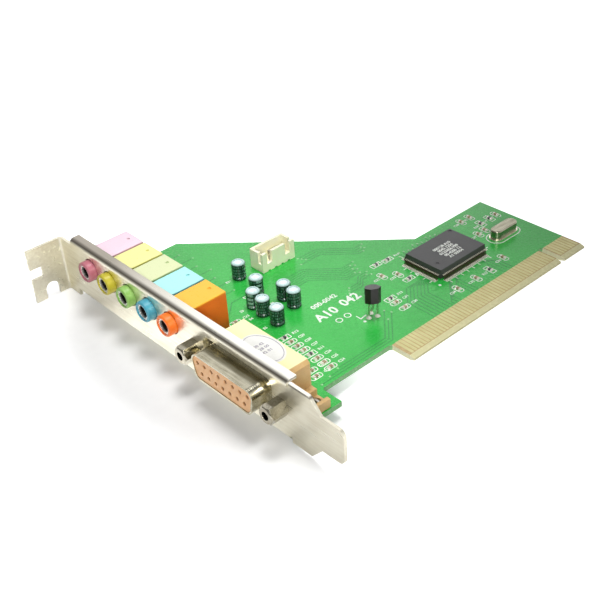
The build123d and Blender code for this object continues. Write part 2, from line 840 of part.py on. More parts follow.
for name, middle in zip(("upper_hex_screw", "lower_hex_screw"), screw_places):
    with BuildPart() as hex_screw:
        with BuildSketch(upright(-hex_length)):
            with Locations((middle, port_level)):
                RegularPolygon(hex_across_flats / 2, 6, major_radius=False)
        extrude(amount=hex_length)
        # the hexagon's outer corners are turned off in front
        with BuildSketch(upright(-hex_length)):
            with Locations((middle, port_level)):
                Circle(hex_across_flats / 2 + hex_length)
                Circle(hex_across_flats / 2 - hex_chamfer / 2, mode=Mode.SUBTRACT)
        extrude(amount=hex_chamfer, taper=45, mode=Mode.SUBTRACT)
        with BuildSketch(upright(0)):
            with Locations((middle, port_level)):
                Circle(thread_radius)
        extrude(amount=housing_front)
        with BuildSketch(upright(-hex_length)):
            with Locations((middle, port_level)):
                Circle(socket_thread_radius)
        extrude(amount=socket_thread_depth, mode=Mode.SUBTRACT)
    keep(hex_screw, name)

# Sticker on the rear block
with BuildPart() as oval_sticker:
    with BuildSketch(level(housing_height)):
        with Locations((housing_front + housing_depth / 2, port_place - sticker_shift)):
            Ellipse(housing_depth / 2 - sticker_rim, sticker_length / 2)
    extrude(amount=sticker_thickness)
keep(oval_sticker, "oval_sticker")

# Audio header: open box with two slots in one wall, standing on short feet
with BuildPart() as audio_header_housing:
    with BuildSketch(level(0)):
        with Locations(header_place):
            Rectangle(header_length, header_width)
    extrude(amount=header_height)
    with BuildSketch(level(header_floor)):
        with Locations(header_place):
            Rectangle(header_length - 2 * header_wall, header_width - 2 * header_wall)
    extrude(amount=header_height - header_floor, mode=Mode.SUBTRACT)
    with BuildSketch(section(header_place[1])):
        with Locations(
            (header_place[0] - header_slot_spread / 2, header_height),
            (header_place[0] + header_slot_spread / 2, header_height),
        ):
            Rectangle(header_slot, header_height - header_slot_sill, align=(Align.CENTER, Align.MAX))
    extrude(amount=header_width / 2, mode=Mode.SUBTRACT)
    # a slot in each end wall, just behind the front wall
    with BuildSketch(level(header_slot_sill)):
        slot_middle = header_place[1] - header_width / 2 + header_wall + header_end_slot / 2
        with Locations((header_place[0], slot_middle)):
            Rectangle(header_length, header_end_slot)
    extrude(amount=header_height - header_slot_sill, mode=Mode.SUBTRACT)
    with BuildSketch(section(header_place[1])):
        with Locations(*[(x, 0) for x, y in header_pins]):
            Rectangle(header_standoff_width, header_standoff, align=(Align.CENTER, Align.MIN))
    extrude(amount=header_width / 2, both=True, mode=Mode.SUBTRACT)
    with BuildSketch(level(0)):
        with Locations(*header_pins):
            Rectangle(header_pin, header_pin)
    extrude(amount=header_floor, mode=Mode.SUBTRACT)
keep(audio_header_housing, "audio_header_housing")

with BuildPart() as audio_header_pins:
    with BuildSketch(level(board_under - lead_reach)):
        with Locations(*header_pins):
            Rectangle(header_pin, header_pin)
    extrude(amount=header_pin_top + board_thickness + lead_reach)
keep(audio_header_pins, "audio_header_pins")

# Electrolytic capacitors: can, printed sleeve shrunk over it, rubber bung and two leads
can_top = can_lift + can_height
bead_level = can_lift + bead_height
sleeve_radius = can_radius + sleeve_thickness
for number, (x, y) in enumerate(capacitor_places, start=1):
    with BuildPart() as capacitor_can:
        with BuildSketch(post(x, y)):
            with BuildLine():
                Polyline(
                    (bung_radius, can_lift),
                    (can_radius, can_lift),
                    (can_radius, bead_level - bead_half_width),
                    (can_radius - bead_depth, bead_level),
                    (can_radius, bead_level + bead_half_width),
                    (can_radius, can_top - can_edge),
                    (can_radius - can_edge, can_top),
                    (0, can_top),
                    (0, bead_level),
                    (bung_radius, bead_level),
                    close=True,
                )
            make_face()
        revolve(axis=Axis(place(x, y, 0), (0, 0, 1)))
    keep(capacitor_can, f"capacitor_can_{number}")

    with BuildPart() as capacitor_sleeve:
        with BuildSketch(post(x, y)):
            with BuildLine():
                Polyline(
                    (can_radius, can_lift),
                    (sleeve_radius, can_lift),
                    (sleeve_radius, bead_level - bead_half_width),
                    (sleeve_radius - bead_depth, bead_level),
                    (sleeve_radius, bead_level + bead_half_width),
                    (sleeve_radius, can_top - can_edge + sleeve_thickness / 2),
                    (can_radius - can_edge + sleeve_thickness / 2, can_top + sleeve_thickness),
                    (can_radius - can_edge - sleeve_lip, can_top + sleeve_thickness),
                    (can_radius - can_edge - sleeve_lip, can_top),
                    (can_radius - can_edge, can_top),
                    (can_radius, can_top - can_edge),
                    (can_radius, bead_level + bead_half_width),
                    (can_radius - bead_depth, bead_level),
                    (can_radius, bead_level - bead_half_width),
                    close=True,
                )
            make_face()
        revolve(axis=Axis(place(x, y, 0), (0, 0, 1)))
    keep(capacitor_sleeve, f"capacitor_sleeve_{number}")

with BuildPart() as capacitor_bungs:
    with BuildSketch(level(0)):
        with Locations(*capacitor_places):
            Circle(bung_radius)
        with Locations(*capacitor_leads):
            Rectangle(capacitor_lead, capacitor_lead, mode=Mode.SUBTRACT)
    extrude(amount=bead_level)
keep(capacitor_bungs, "capacitor_bungs")

with BuildPart() as capacitor_wires:
    with BuildSketch(level(board_under - lead_reach)):
        with Locations(*capacitor_leads):
            Rectangle(capacitor_lead, capacitor_lead)
    extrude(amount=bead_level + board_thickness + lead_reach)
keep(capacitor_wires, "capacitor_wires")

# Regulator: moulded body with one flat side, leaning back on three legs
regulator_plane = Plane(
    origin=place(regulator_place[0], regulator_place[1], regulator_lift),
    x_dir=regulator_side,
    z_dir=regulator_up,
)
with BuildPart() as regulator_body:
    with BuildSketch(regulator_plane):
        Circle(regulator_radius)
        # a flat in front with a bevel on each side of it
        with BuildLine():
            half_flat = regulator_flat_width / 2
            Polyline(
                (-half_flat, -regulator_flat),
                (half_flat, -regulator_flat),
                (half_flat + regulator_radius, regulator_radius - regulator_flat),
                (half_flat + regulator_radius, regulator_radius),
                (-half_flat - regulator_radius, regulator_radius),
                (-half_flat - regulator_radius, regulator_radius - regulator_flat),
                close=True,
            )
        make_face(mode=Mode.INTERSECT)
    extrude(amount=regulator_height)
keep(regulator_body, "regulator_body")

# The outer legs go straight down, the middle one is bent back
leg_foot = place(regulator_place[0], regulator_place[1], 0)
outer_leg_plane = Plane(origin=leg_foot, x_dir=leg_line, z_dir=leg_line.rotate(Axis.Z, -90))
middle_leg_plane = Plane(origin=leg_foot, x_dir=leg_back, z_dir=leg_line)
half_leg = regulator_leg / 2
leg_tip = board_under - lead_reach
leg_top = regulator_lift + regulator_leg
with BuildPart() as regulator_legs:
    with BuildSketch(outer_leg_plane):
        with Locations((-regulator_leg_pitch, leg_tip), (regulator_leg_pitch, leg_tip)):
            Rectangle(regulator_leg, leg_top - leg_tip, align=(Align.CENTER, Align.MIN))
    extrude(amount=half_leg, both=True)
    with BuildSketch(middle_leg_plane):
        with BuildLine():
            Polyline(
                (regulator_leg_set - half_leg, leg_tip),
                (regulator_leg_set + half_leg, leg_tip),
                (regulator_leg_set + half_leg, regulator_leg * 2),
                (half_leg, regulator_lift * 0.75),
                (half_leg, leg_top),
                (-half_leg, leg_top),
                (-half_leg, regulator_lift * 0.7),
                (regulator_leg_set - half_leg, regulator_leg * 1.5),
                close=True,
            )
        make_face()
    extrude(amount=half_leg, both=True)
    # all three end at the body's sloping underside
    split(bisect_by=regulator_plane, keep=Keep.BOTTOM)
keep(regulator_legs, "regulator_legs")

# Sound chip: moulded body with drafted sides, parted at the plane of its leads
lead_roof = chip_parting + lead_thickness / 2
lead_under = chip_parting - lead_thickness / 2
chip_top = chip_lift + chip_height
with BuildPart() as sound_chip_body:
    with BuildSketch(level(chip_parting)) as parting:
        with Locations(chip_place):
            Rectangle(chip_length, chip_width)
    extrude(amount=chip_top - chip_parting, taper=chip_draft)
    extrude(parting.sketch, amount=-(chip_parting - chip_lift), taper=chip_draft)
    with BuildSketch(level(chip_top)):
        with Locations(
            (
                chip_place[0] - chip_length / 2 + chip_mark_x,
                chip_place[1] - chip_width / 2 + chip_mark_y,
            ),
            (
                chip_place[0] + chip_length / 2 - chip_dimple_inset,
                chip_place[1] + chip_width / 2 - chip_dimple_inset,
            ),
        ):
            Circle(chip_dimple_radius)
    extrude(amount=-chip_dimple_depth, mode=Mode.SUBTRACT)
keep(sound_chip_body, "sound_chip_body")

# One lead's profile, from the body's edge out, down and along the board
lead_profile = [
    (0, lead_under),
    (lead_shoulder, lead_under),
    (lead_shoulder + lead_slope, 0),
    (lead_shoulder + lead_slope + lead_foot, 0),
    (lead_shoulder + lead_slope + lead_foot, lead_thickness),
    (lead_shoulder + lead_slope + lead_thickness, lead_thickness),
    (lead_shoulder + lead_thickness, lead_roof),
    (0, lead_roof),
]
along_length = [
    chip_place[0] + (number - (leads_on_long_side - 1) / 2) * lead_pitch
    for number in range(leads_on_long_side)
]
along_width = [
    chip_place[1] + (number - (leads_on_short_side - 1) / 2) * lead_pitch
    for number in range(leads_on_short_side)
]
with BuildPart() as sound_chip_leads:
    for side in (-1, 1):
        edge = chip_place[1] + side * chip_width / 2
        with BuildSketch(*[upright(x) for x in along_length]):
            with BuildLine():
                Polyline(*[(edge + side * out, up) for out, up in lead_profile], close=True)
            make_face()
        extrude(amount=lead_width / 2, both=True)
    for side in (-1, 1):
        edge = chip_place[0] + side * chip_length / 2
        with BuildSketch(*[section(y) for y in along_width]):
            with BuildLine():
                Polyline(*[(edge + side * out, up) for out, up in lead_profile], close=True)
            make_face()
        extrude(amount=lead_width / 2, both=True)
keep(sound_chip_leads, "sound_chip_leads")

# Crystal: drawn can on a flanged base
with BuildPart() as crystal_base:
    with BuildSketch(level(0)):
        with Locations(crystal_place):
            SlotOverall(crystal_length + 2 * crystal_base_rim, crystal_width + 2 * crystal_base_rim)
        with Locations(*crystal_leads):
            Rectangle(crystal_lead, crystal_lead, mode=Mode.SUBTRACT)
    extrude(amount=crystal_base_thickness)
keep(crystal_base, "crystal_base")

with BuildPart() as crystal_can:
    with BuildSketch(level(crystal_base_thickness)):
        with Locations(crystal_place):
            SlotOverall(crystal_length, crystal_width)
    extrude(amount=crystal_height - crystal_base_thickness)
    fillet(crystal_can.faces().sort_by(Axis.Z)[-1].edges(), crystal_edge)
keep(crystal_can, "crystal_can")

with BuildPart() as crystal_wires:
    with BuildSketch(level(board_under - lead_reach)):
        with Locations(*crystal_leads):
            Rectangle(crystal_lead, crystal_lead)
    extrude(amount=crystal_base_thickness + board_thickness + lead_reach)
keep(crystal_wires, "crystal_wires")

# Chip resistors and chip capacitors: ceramic bodies between plated end caps
body_length = chip_part_length - 2 * end_cap_length
cap_offset = (chip_part_length - end_cap_length) / 2
with BuildPart() as chip_resistors:
    with BuildSketch(level(0)):
        with Locations(*along_x_resistors):
            Rectangle(body_length, chip_part_width)
        with Locations(*along_y_resistors):
            Rectangle(chip_part_width, body_length)
    extrude(amount=chip_part_height)
keep(chip_resistors, "chip_resistors")

with BuildPart() as chip_capacitors:
    with BuildSketch(level(0)):
        with Locations(*along_x_capacitors):
            Rectangle(body_length, chip_part_width)
        with Locations(*along_y_capacitors):
            Rectangle(chip_part_width, body_length)
    extrude(amount=chip_part_height)
keep(chip_capacitors, "chip_capacitors")

along_x = along_x_resistors + along_x_capacitors
along_y = along_y_resistors + along_y_capacitors
with BuildPart() as chip_end_caps:
    with BuildSketch(level(0)):
        with Locations(*[(x + side * cap_offset, y) for x, y in along_x for side in (-1, 1)]):
            Rectangle(end_cap_length, chip_part_width)
        with Locations(*[(x, y + side * cap_offset) for x, y in along_y for side in (-1, 1)]):
            Rectangle(chip_part_width, end_cap_length)
    extrude(amount=chip_part_height)
keep(chip_end_caps, "chip_end_caps")
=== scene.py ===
"""Looks of a sound card: finishes for its CAD pieces, print, copper and solder, light and camera."""

import logging
import math
from dataclasses import dataclass
from enum import Enum
from functools import cache

import bmesh
import bpy
import numpy as np
from numpy.typing import NDArray
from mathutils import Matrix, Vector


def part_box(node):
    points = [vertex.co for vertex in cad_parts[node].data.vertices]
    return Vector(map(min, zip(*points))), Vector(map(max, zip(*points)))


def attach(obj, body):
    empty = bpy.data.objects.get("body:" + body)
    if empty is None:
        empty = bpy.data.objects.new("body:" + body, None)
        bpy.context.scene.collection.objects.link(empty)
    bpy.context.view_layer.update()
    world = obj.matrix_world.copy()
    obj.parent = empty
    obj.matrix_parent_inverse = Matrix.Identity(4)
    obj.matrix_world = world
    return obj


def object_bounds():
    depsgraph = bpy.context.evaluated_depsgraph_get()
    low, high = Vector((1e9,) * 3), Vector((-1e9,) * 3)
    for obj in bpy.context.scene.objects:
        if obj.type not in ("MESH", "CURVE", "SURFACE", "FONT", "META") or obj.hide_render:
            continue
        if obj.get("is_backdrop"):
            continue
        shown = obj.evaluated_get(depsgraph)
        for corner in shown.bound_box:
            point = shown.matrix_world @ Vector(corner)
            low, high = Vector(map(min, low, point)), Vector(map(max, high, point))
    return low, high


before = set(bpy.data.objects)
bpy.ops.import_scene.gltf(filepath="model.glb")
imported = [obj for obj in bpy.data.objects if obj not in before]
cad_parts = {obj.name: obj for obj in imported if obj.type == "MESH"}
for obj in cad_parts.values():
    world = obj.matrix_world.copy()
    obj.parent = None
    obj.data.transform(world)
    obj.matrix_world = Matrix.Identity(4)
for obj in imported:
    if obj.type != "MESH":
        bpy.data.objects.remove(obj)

LOG = logging.getLogger("sound_card")
MM = 0.001
Points = NDArray[np.float64]
Faces = NDArray[np.int64]
Socket = bpy.types.NodeSocket
Value = Socket | float | tuple[float, ...]
Word = tuple[str, float, float, float]


def linear(code: str) -> tuple[float, float, float, float]:
    """Turn an sRGB hex value into a linear colour.

    Args:
        code: six hex digits after a hash sign.

    Returns:
        Red, green and blue in linear light, and a full alpha.
    """
    parts = np.array([int(code[start:start + 2], 16) for start in (1, 3, 5)]) / 255
    light = np.where(parts <= 0.04045, parts / 12.92, ((parts + 0.055) / 1.055) ** 2.4)
    return (float(light[0]), float(light[1]), float(light[2]), 1.0)


def per_mm(size: float) -> float:
    """Texture scale whose pattern repeats about every size millimetres on metre coordinates."""
    return 1.0 / (size * MM)


def node(
    tree: bpy.types.NodeTree, kind: str, inputs: dict[str | int, Value] | None = None, **settings: object
) -> bpy.types.Node:
    """Add a shader node with its settings and links.

    Args:
        tree: the tree that gets the node.
        kind: the node's class without its usual first part.
        inputs: a value or a socket to link, for each input's name or number.
        settings: the node's own properties.

    Returns:
        The new node.
    """
    made = tree.nodes.new(f"ShaderNode{kind}")
    for key, value in settings.items():
        setattr(made, key, value)
    for key, value in (inputs or {}).items():
        if isinstance(value, Socket):
            tree.links.new(value, made.inputs[key])
        else:
            made.inputs[key].default_value = value
    return made


def mix(tree: bpy.types.NodeTree, amount: Socket, first: Value, second: Value) -> Socket:
    """Blend two colours.

    Args:
        tree: the tree that gets the node.
        amount: 0 for the first colour, 1 for the second.
        first: a colour.
        second: another colour.

    Returns:
        The blended colour.
    """
    return node(tree, "Mix", {0: amount, 6: first, 7: second}, data_type="RGBA").outputs[2]


def sums(tree: bpy.types.NodeTree, operation: str, *values: Value) -> Socket:
    """One step of arithmetic.

    Args:
        tree: the tree that gets the node.
        operation: its name, as the maths node spells it.
        values: one or two numbers or sockets.

    Returns:
        The result.
    """
    return node(tree, "Math", dict(enumerate(values)), operation=operation).outputs[0]


def ramp(
    tree: bpy.types.NodeTree, value: Socket, low: float, high: float,
    start: float = 0.0, end: float = 1.0, curve: str = "LINEAR",
) -> Socket:
    """Stretch a value from one range to another.

    Args:
        tree: the tree that gets the node.
        value: what is stretched.
        low: the value that gives the start.
        high: the value that gives the end.
        start: result at the low value and before it.
        end: result at the high value and beyond it.
        curve: how it runs between them, as the range node spells it.

    Returns:
        The result.
    """
    inputs = {0: value, 1: low, 2: high, 3: start, 4: end}
    return node(tree, "MapRange", inputs, interpolation_type=curve).outputs[0]


def noise(tree: bpy.types.NodeTree, place: Socket, scale: float, detail: float) -> Socket:
    """A noise pattern's height at a place."""
    return node(tree, "TexNoise", {"Vector": place, "Scale": scale, "Detail": detail}).outputs["Fac"]


def axes_of(tree: bpy.types.NodeTree, vector: Socket) -> bpy.types.NodeOutputs:
    """The X, Y and Z of a vector."""
    return node(tree, "SeparateXYZ", {0: vector}).outputs


# Shapes


@dataclass
class Surface:
    """Points in the card's millimetres and blocks of faces between them."""

    points: Points
    faces: list[Faces]

    @staticmethod
    def joined(parts: list["Surface"]) -> "Surface":
        """Several surfaces as one.

        Args:
            parts: the surfaces, in order.

        Returns:
            One surface with all their points and faces.
        """
        shifts = np.cumsum([0] + [len(part.points) for part in parts[:-1]])
        faces = [block + shift for part, shift in zip(parts, shifts) for block in part.faces]
        return Surface(np.vstack([part.points for part in parts]), faces)


def grid_faces(rows: int, columns: int, around: bool) -> Faces:
    """Quads of a grid whose columns close on themselves.

    Args:
        rows: number of point rows.
        columns: number of points in each row.
        around: true where the last row joins the first.

    Returns:
        One row of four point numbers for each quad.
    """
    starts = np.arange(rows if around else rows - 1)
    row, column = np.meshgrid(starts, np.arange(columns), indexing="ij")
    following = (row + 1) % rows
    beside = (column + 1) % columns
    here, there = row * columns, following * columns
    corners = [here + column, here + beside, there + beside, there + column]
    return np.stack([corner.ravel() for corner in corners], axis=1)


def carried(path: Points, width: float, thickness: float, level: float, closed: bool = False) -> Surface:
    """A flat strip: a four-cornered profile carried along a path on the board.

    Point (i, j) is path point i, moved sideways by half the width along the mitre of the two runs
    that meet there, and raised to the underside or the top of the strip.

    Args:
        path: points of the middle line, X and Y.
        width: width of the strip.
        thickness: height of the strip.
        level: height of its underside.
        closed: true where the path's end joins its start.

    Returns:
        The strip as a closed surface.
    """
    runs = np.roll(path, -1, axis=0) - path
    if not closed:
        runs[-1] = runs[-2]
    runs = runs / np.linalg.norm(runs, axis=1, keepdims=True)
    before = np.roll(runs, 1, axis=0)
    if not closed:
        before[0] = runs[0]
    side = np.stack([-runs[:, 1], runs[:, 0]], axis=1)
    mitre = side + np.stack([-before[:, 1], before[:, 0]], axis=1)
    mitre = mitre / np.maximum((mitre * side).sum(axis=1, keepdims=True), 0.35)
    across = np.array([0.5, 0.5, -0.5, -0.5]) * width
    up = np.array([0.0, 1.0, 1.0, 0.0]) * thickness + level
    flat = path[:, None, :] + across[None, :, None] * mitre[:, None, :]
    heights = np.broadcast_to(up[None, :, None], (len(path), 4, 1))
    points = np.concatenate([flat, heights], axis=2).reshape(-1, 3)
    faces = [grid_faces(len(path), 4, closed)]
    if not closed:
        last = (len(path) - 1) * 4
        faces.append(np.array([[3, 2, 1, 0], [last, last + 1, last + 2, last + 3]]))
    return Surface(points, faces)


def turned(profile: Points, centres: Points, sides: int) -> Surface:
    """One turned shape at each centre.

    Point (c, i, j) is centre c, moved out by profile radius i at angle j and raised by profile
    height i. A flat cap closes each end.

    Args:
        profile: radius and height of each ring.
        centres: X, Y and Z of each axis foot.
        sides: number of points round a ring.

    Returns:
        All the turned shapes as one surface.
    """
    angle = np.arange(sides) * 2 * math.pi / sides
    ring = np.stack([np.cos(angle), np.sin(angle)], axis=1)
    flat = profile[:, None, :1] * ring[None]
    rise = np.broadcast_to(profile[:, None, 1:], (len(profile), sides, 1))
    shape = np.concatenate([flat, rise], axis=2).reshape(-1, 3)
    points = (centres[:, None, :] + shape[None]).reshape(-1, 3)
    steps = np.arange(len(centres))[:, None, None] * len(shape)
    walls = (grid_faces(len(profile), sides, False)[None] + steps).reshape(-1, 4)
    ends = np.stack([np.arange(sides)[::-1], np.arange(sides) + (len(profile) - 1) * sides])
    return Surface(points, [walls, (ends[None] + steps).reshape(-1, sides)])


def mounds(centres: Points, halves: Points, level: float, height: float, sides: int = 12) -> Surface:
    """Low domes with a rounded-rectangle foot, as solder lies on a pad.

    Point (c, i, j) is centre c, moved out by the half sizes times the square root of the cosine
    and sine at angle j, which squares the circle up, shrunk by ring i, and raised by ring i.

    Args:
        centres: X and Y of each mound.
        halves: half length along X and half width along Y of each mound.
        level: height of the feet.
        height: rise of each mound.
        sides: number of points round a ring.

    Returns:
        All the mounds as one surface.
    """
    angle = (np.arange(sides) + 0.5) * 2 * math.pi / sides
    wave = np.stack([np.cos(angle), np.sin(angle)], axis=1)
    foot = np.sign(wave) * np.sqrt(np.abs(wave))
    foot = foot / np.abs(foot).max()
    rings = np.array([[1.0, 0.0], [0.94, 0.55], [0.72, 0.9], [0.35, 1.0]])
    spread = foot[None, None] * rings[None, :, None, :1]
    flat = centres[:, None, None, :] + halves[:, None, None, :] * spread
    heights = level + height * rings[None, :, None, 1:]
    rise = np.broadcast_to(heights, (len(centres), len(rings), sides, 1))
    points = np.concatenate([flat, rise], axis=3).reshape(-1, 3)
    size = len(rings) * sides
    steps = np.arange(len(centres))[:, None, None] * size
    walls = (grid_faces(len(rings), sides, False)[None] + steps).reshape(-1, 4)
    ends = np.stack([np.arange(sides)[::-1], np.arange(sides) + size - sides])
    return Surface(points, [walls, (ends[None] + steps).reshape(-1, sides)])


def rounded(length: float, width: float, radius: float, steps: int = 5) -> Points:
    """Closed rounded rectangle about the origin: four quarter circles joined by straight runs."""
    turn = np.linspace(0, math.pi / 2, steps)
    starts = np.arange(4) * math.pi / 2
    angle = (starts[:, None] + turn[None]).ravel()
    corner = np.repeat(np.array([[1, 1], [-1, 1], [-1, -1], [1, -1]]), steps, axis=0)
    reach = np.array([length / 2 - radius, width / 2 - radius])
    return corner * reach + radius * np.stack([np.cos(angle), np.sin(angle)], axis=1)


def ellipse(half_x: float, half_y: float, count: int = 40) -> Points:
    """Closed ellipse about the origin."""
    angle = np.arange(count) * 2 * math.pi / count
    return np.stack([half_x * np.cos(angle), half_y * np.sin(angle)], axis=1)


def lettering(words: list[Word], thickness: float, level: float, weight: float = 0.036) -> Surface:
    """Plain flat letters, each word centred on its place.

    Args:
        words: the text, the X and Y of its middle and the height of its capitals.
        thickness: thickness of the ink.
        level: height of its underside.
        weight: how far the strokes are fattened, as a share of the capitals.

    Returns:
        All the letters as one surface of triangles.
    """
    parts = []
    for word, x, y, height in words:
        curve = bpy.data.curves.new("letters", "FONT")
        curve.body = word
        # the font's capitals are about 0.71 of its size
        curve.size = height * 1.4
        curve.offset = height * weight
        curve.extrude = thickness / 2
        curve.resolution_u = 2
        curve.align_x = "CENTER"
        curve.align_y = "CENTER"
        holder = bpy.data.objects.new("letters", curve)
        mesh = bpy.data.meshes.new_from_object(holder)
        mesh.calc_loop_triangles()
        flat = np.empty(len(mesh.vertices) * 3)
        mesh.vertices.foreach_get("co", flat)
        corners = np.empty(len(mesh.loop_triangles) * 3, dtype=np.int32)
        mesh.loop_triangles.foreach_get("vertices", corners)
        points = flat.reshape(-1, 3) + np.array([x, y, level + thickness / 2])
        parts.append(Surface(points, [corners.reshape(-1, 3).astype(np.int64)]))
        bpy.data.objects.remove(holder)
        bpy.data.curves.remove(curve)
        bpy.data.meshes.remove(mesh)
    return Surface.joined(parts)


@cache
def solids(name: str) -> list[Points]:
    """Corner points of each separate solid of a CAD node.

    Corners at one place are taken as one, and each triangle hands its lowest label to its corners
    until no label changes.

    Args:
        name: the node.

    Returns:
        For each solid, its corners in metres.
    """
    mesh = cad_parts[name].data
    flat = np.empty(len(mesh.vertices) * 3)
    mesh.vertices.foreach_get("co", flat)
    places, where = np.unique(np.round(flat.reshape(-1, 3) * 1e6), axis=0, return_inverse=True)
    loops = np.empty(len(mesh.loops), dtype=np.int32)
    mesh.loops.foreach_get("vertex_index", loops)
    triangles = where.ravel()[loops].reshape(-1, 3)
    labels = np.arange(len(places))
    while True:
        lowest = np.repeat(labels[triangles].min(axis=1), 3)
        handed = labels.copy()
        np.minimum.at(handed, triangles.ravel(), lowest)
        handed = handed[handed]
        if np.array_equal(handed, labels):
            break
        labels = handed
    return [places[labels == label] / 1e6 for label in np.unique(labels)]


@dataclass(frozen=True)
class Card:
    """The card's corner point: X behind the bracket's face, Y above the contact edge, Z above the board."""

    edge_gap: float = 1.08

    @cache
    def corner(self) -> Points:
        """The corner point in metres, from the board's box."""
        low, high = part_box("circuit_board")
        return np.array([low[0] - self.edge_gap * MM, low[1], high[2]])

    def metres(self, points: Points) -> Points:
        """Card millimetres as metres in the frame."""
        return points * MM + self.corner()

    def millimetres(self, points: Points) -> Points:
        """Frame metres as card millimetres."""
        return (np.asarray(points) - self.corner()) / MM

    def box(self, name: str) -> tuple[Points, Points]:
        """Lowest and highest corner of a CAD node in card millimetres."""
        low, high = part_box(name)
        return self.millimetres(np.array(low)), self.millimetres(np.array(high))

    def underside(self) -> float:
        """Height of the board's lower face in card millimetres."""
        return float(self.box("circuit_board")[0][2])

    def middles(self, name: str) -> tuple[Points, Points]:
        """Middle and size of each solid of a CAD node in card millimetres."""
        lows = np.array([self.millimetres(points.min(axis=0)) for points in solids(name)])
        highs = np.array([self.millimetres(points.max(axis=0)) for points in solids(name)])
        return (lows + highs) / 2, highs - lows

    def feet(self, name: str) -> Points:
        """X and Y of the lowest end of each solid of a CAD node in card millimetres."""
        lowest = [points[points[:, 2] < points[:, 2].min() + 0.1 * MM] for points in solids(name)]
        return self.millimetres(np.array([points.mean(axis=0) for points in lowest]))[:, :2]

    def piece(self, name: str, shape: Surface, finish: "Finish", slot: str) -> bpy.types.Object:
        """Make a scene piece from a surface, with its normals outward, its finish and its body.

        Args:
            name: the piece's name.
            shape: its surface in card millimetres.
            finish: the finish that it gets.
            slot: the record's material slot that it belongs to; not used.

        Returns:
            The new object.
        """
        mesh = bpy.data.meshes.new(name)
        faces = [face for block in shape.faces for face in block.tolist()]
        mesh.from_pydata(self.metres(shape.points).tolist(), [], faces)
        work = bmesh.new()
        work.from_mesh(mesh)
        bmesh.ops.recalc_face_normals(work, faces=work.faces)
        work.to_mesh(mesh)
        work.free()
        mesh.materials.append(finish.material())
        made = bpy.data.objects.new(name, mesh)
        bpy.context.collection.objects.link(made)
        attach(made, "root")
        LOG.info("%s: %d faces", name, len(faces))
        return made


# Finishes


class Grain(Enum):
    """How a surface was made, as the stretch of its fine pattern along X, Y and Z."""

    MOULDED = (1.0, 1.0, 1.0)
    ROLLED = (1.0, 0.06, 1.0)
    DRAWN = (0.12, 1.0, 1.0)


@dataclass(frozen=True)
class Finish:
    """A material with two close tones, uneven gloss, a fine relief and softened edges."""

    name: str
    colour: str
    shade: str
    roughness: float
    metallic: float = 0.0
    ior: float = 1.5
    grain: Grain = Grain.MOULDED
    grain_mm: float = 0.8
    gloss_spread: float = 0.08
    relief_mm: float = 0.01
    edge_mm: float = 0.12
    milky: float = 0.0

    def material(self) -> bpy.types.Material:
        """Make the material, or give the one already made under this name.

        Returns:
            The finished node material.
        """
        found = bpy.data.materials.get(self.name)
        if found:
            return found
        made = bpy.data.materials.new(self.name)
        made.use_nodes = True
        tree = made.node_tree
        tree.nodes.clear()
        place = node(tree, "TexCoord").outputs["Object"]
        stretched = node(tree, "Mapping", {"Vector": place, "Scale": self.grain.value}).outputs["Vector"]
        fine = noise(tree, stretched, per_mm(self.grain_mm), 3.0)
        broad = noise(tree, place, per_mm(self.grain_mm * 9), 2.0)
        mottle = ramp(tree, sums(tree, "MULTIPLY", fine, broad), 0.12, 0.4)
        glossiest = max(self.roughness - self.gloss_spread, 0.03)
        gloss = ramp(tree, fine, 0.3, 0.7, glossiest, self.roughness + self.gloss_spread)
        edge = node(tree, "Bevel", {"Radius": self.edge_mm * MM}, samples=4).outputs[0]
        relief = node(tree, "Bump", {"Height": fine, "Distance": self.relief_mm * MM, "Normal": edge})
        shader = node(
            tree,
            "BsdfPrincipled",
            {
                "Base Color": self.paint(tree, place, mottle),
                "Roughness": gloss,
                "Metallic": self.metallic,
                "IOR": self.ior,
                "Subsurface Weight": self.milky,
                "Subsurface Radius": (1.0, 1.0, 0.8),
                "Subsurface Scale": 1.0 * MM,
                "Normal": relief.outputs[0],
            },
        )
        node(tree, "OutputMaterial", {"Surface": shader.outputs[0]})
        return made

    def paint(self, tree: bpy.types.NodeTree, place: Socket, mottle: Socket) -> Socket:
        """Blend the two tones by the mottle.

        Args:
            tree: the material's tree.
            place: object coordinates; not used here.
            mottle: share of the deeper tone, from 0 to 1.

        Returns:
            The colour socket.
        """
        return mix(tree, mottle, linear(self.colour), linear(self.shade))


@dataclass(frozen=True)
class PaintedLightFinish(Finish):
    """A piece with another tone near a level on one side and beyond its back level, used for painted
    highlights on lit tops and mouths, and for a face's own tone over painted shade further in.
    """

    skin: str = "#FFFFFF"
    face_axis: str = "Z"
    face_level: float = 0.0
    face_depth: float = 0.7
    back_level: float = 1.0

    def paint(self, tree: bpy.types.NodeTree, place: Socket, mottle: Socket) -> Socket:
        """Blend the two tones, and lay the other tone over what is near its level and beyond its back level.

        Args:
            tree: the material's tree.
            place: object coordinates.
            mottle: share of the deeper tone, from 0 to 1.

        Returns:
            The colour socket.
        """
        body = super().paint(tree, place, mottle)
        along = axes_of(tree, place)[self.face_axis]
        near = ramp(tree, along, self.face_level - self.face_depth * MM, self.face_level)
        behind = sums(tree, "GREATER_THAN", along, self.back_level)
        # the other tone is a painted highlight on lit tops and mouths; where it is a face's own colour, the
        # body tone further in is painted shade
        return mix(tree, sums(tree, "MAXIMUM", near, behind), body, linear(self.skin))


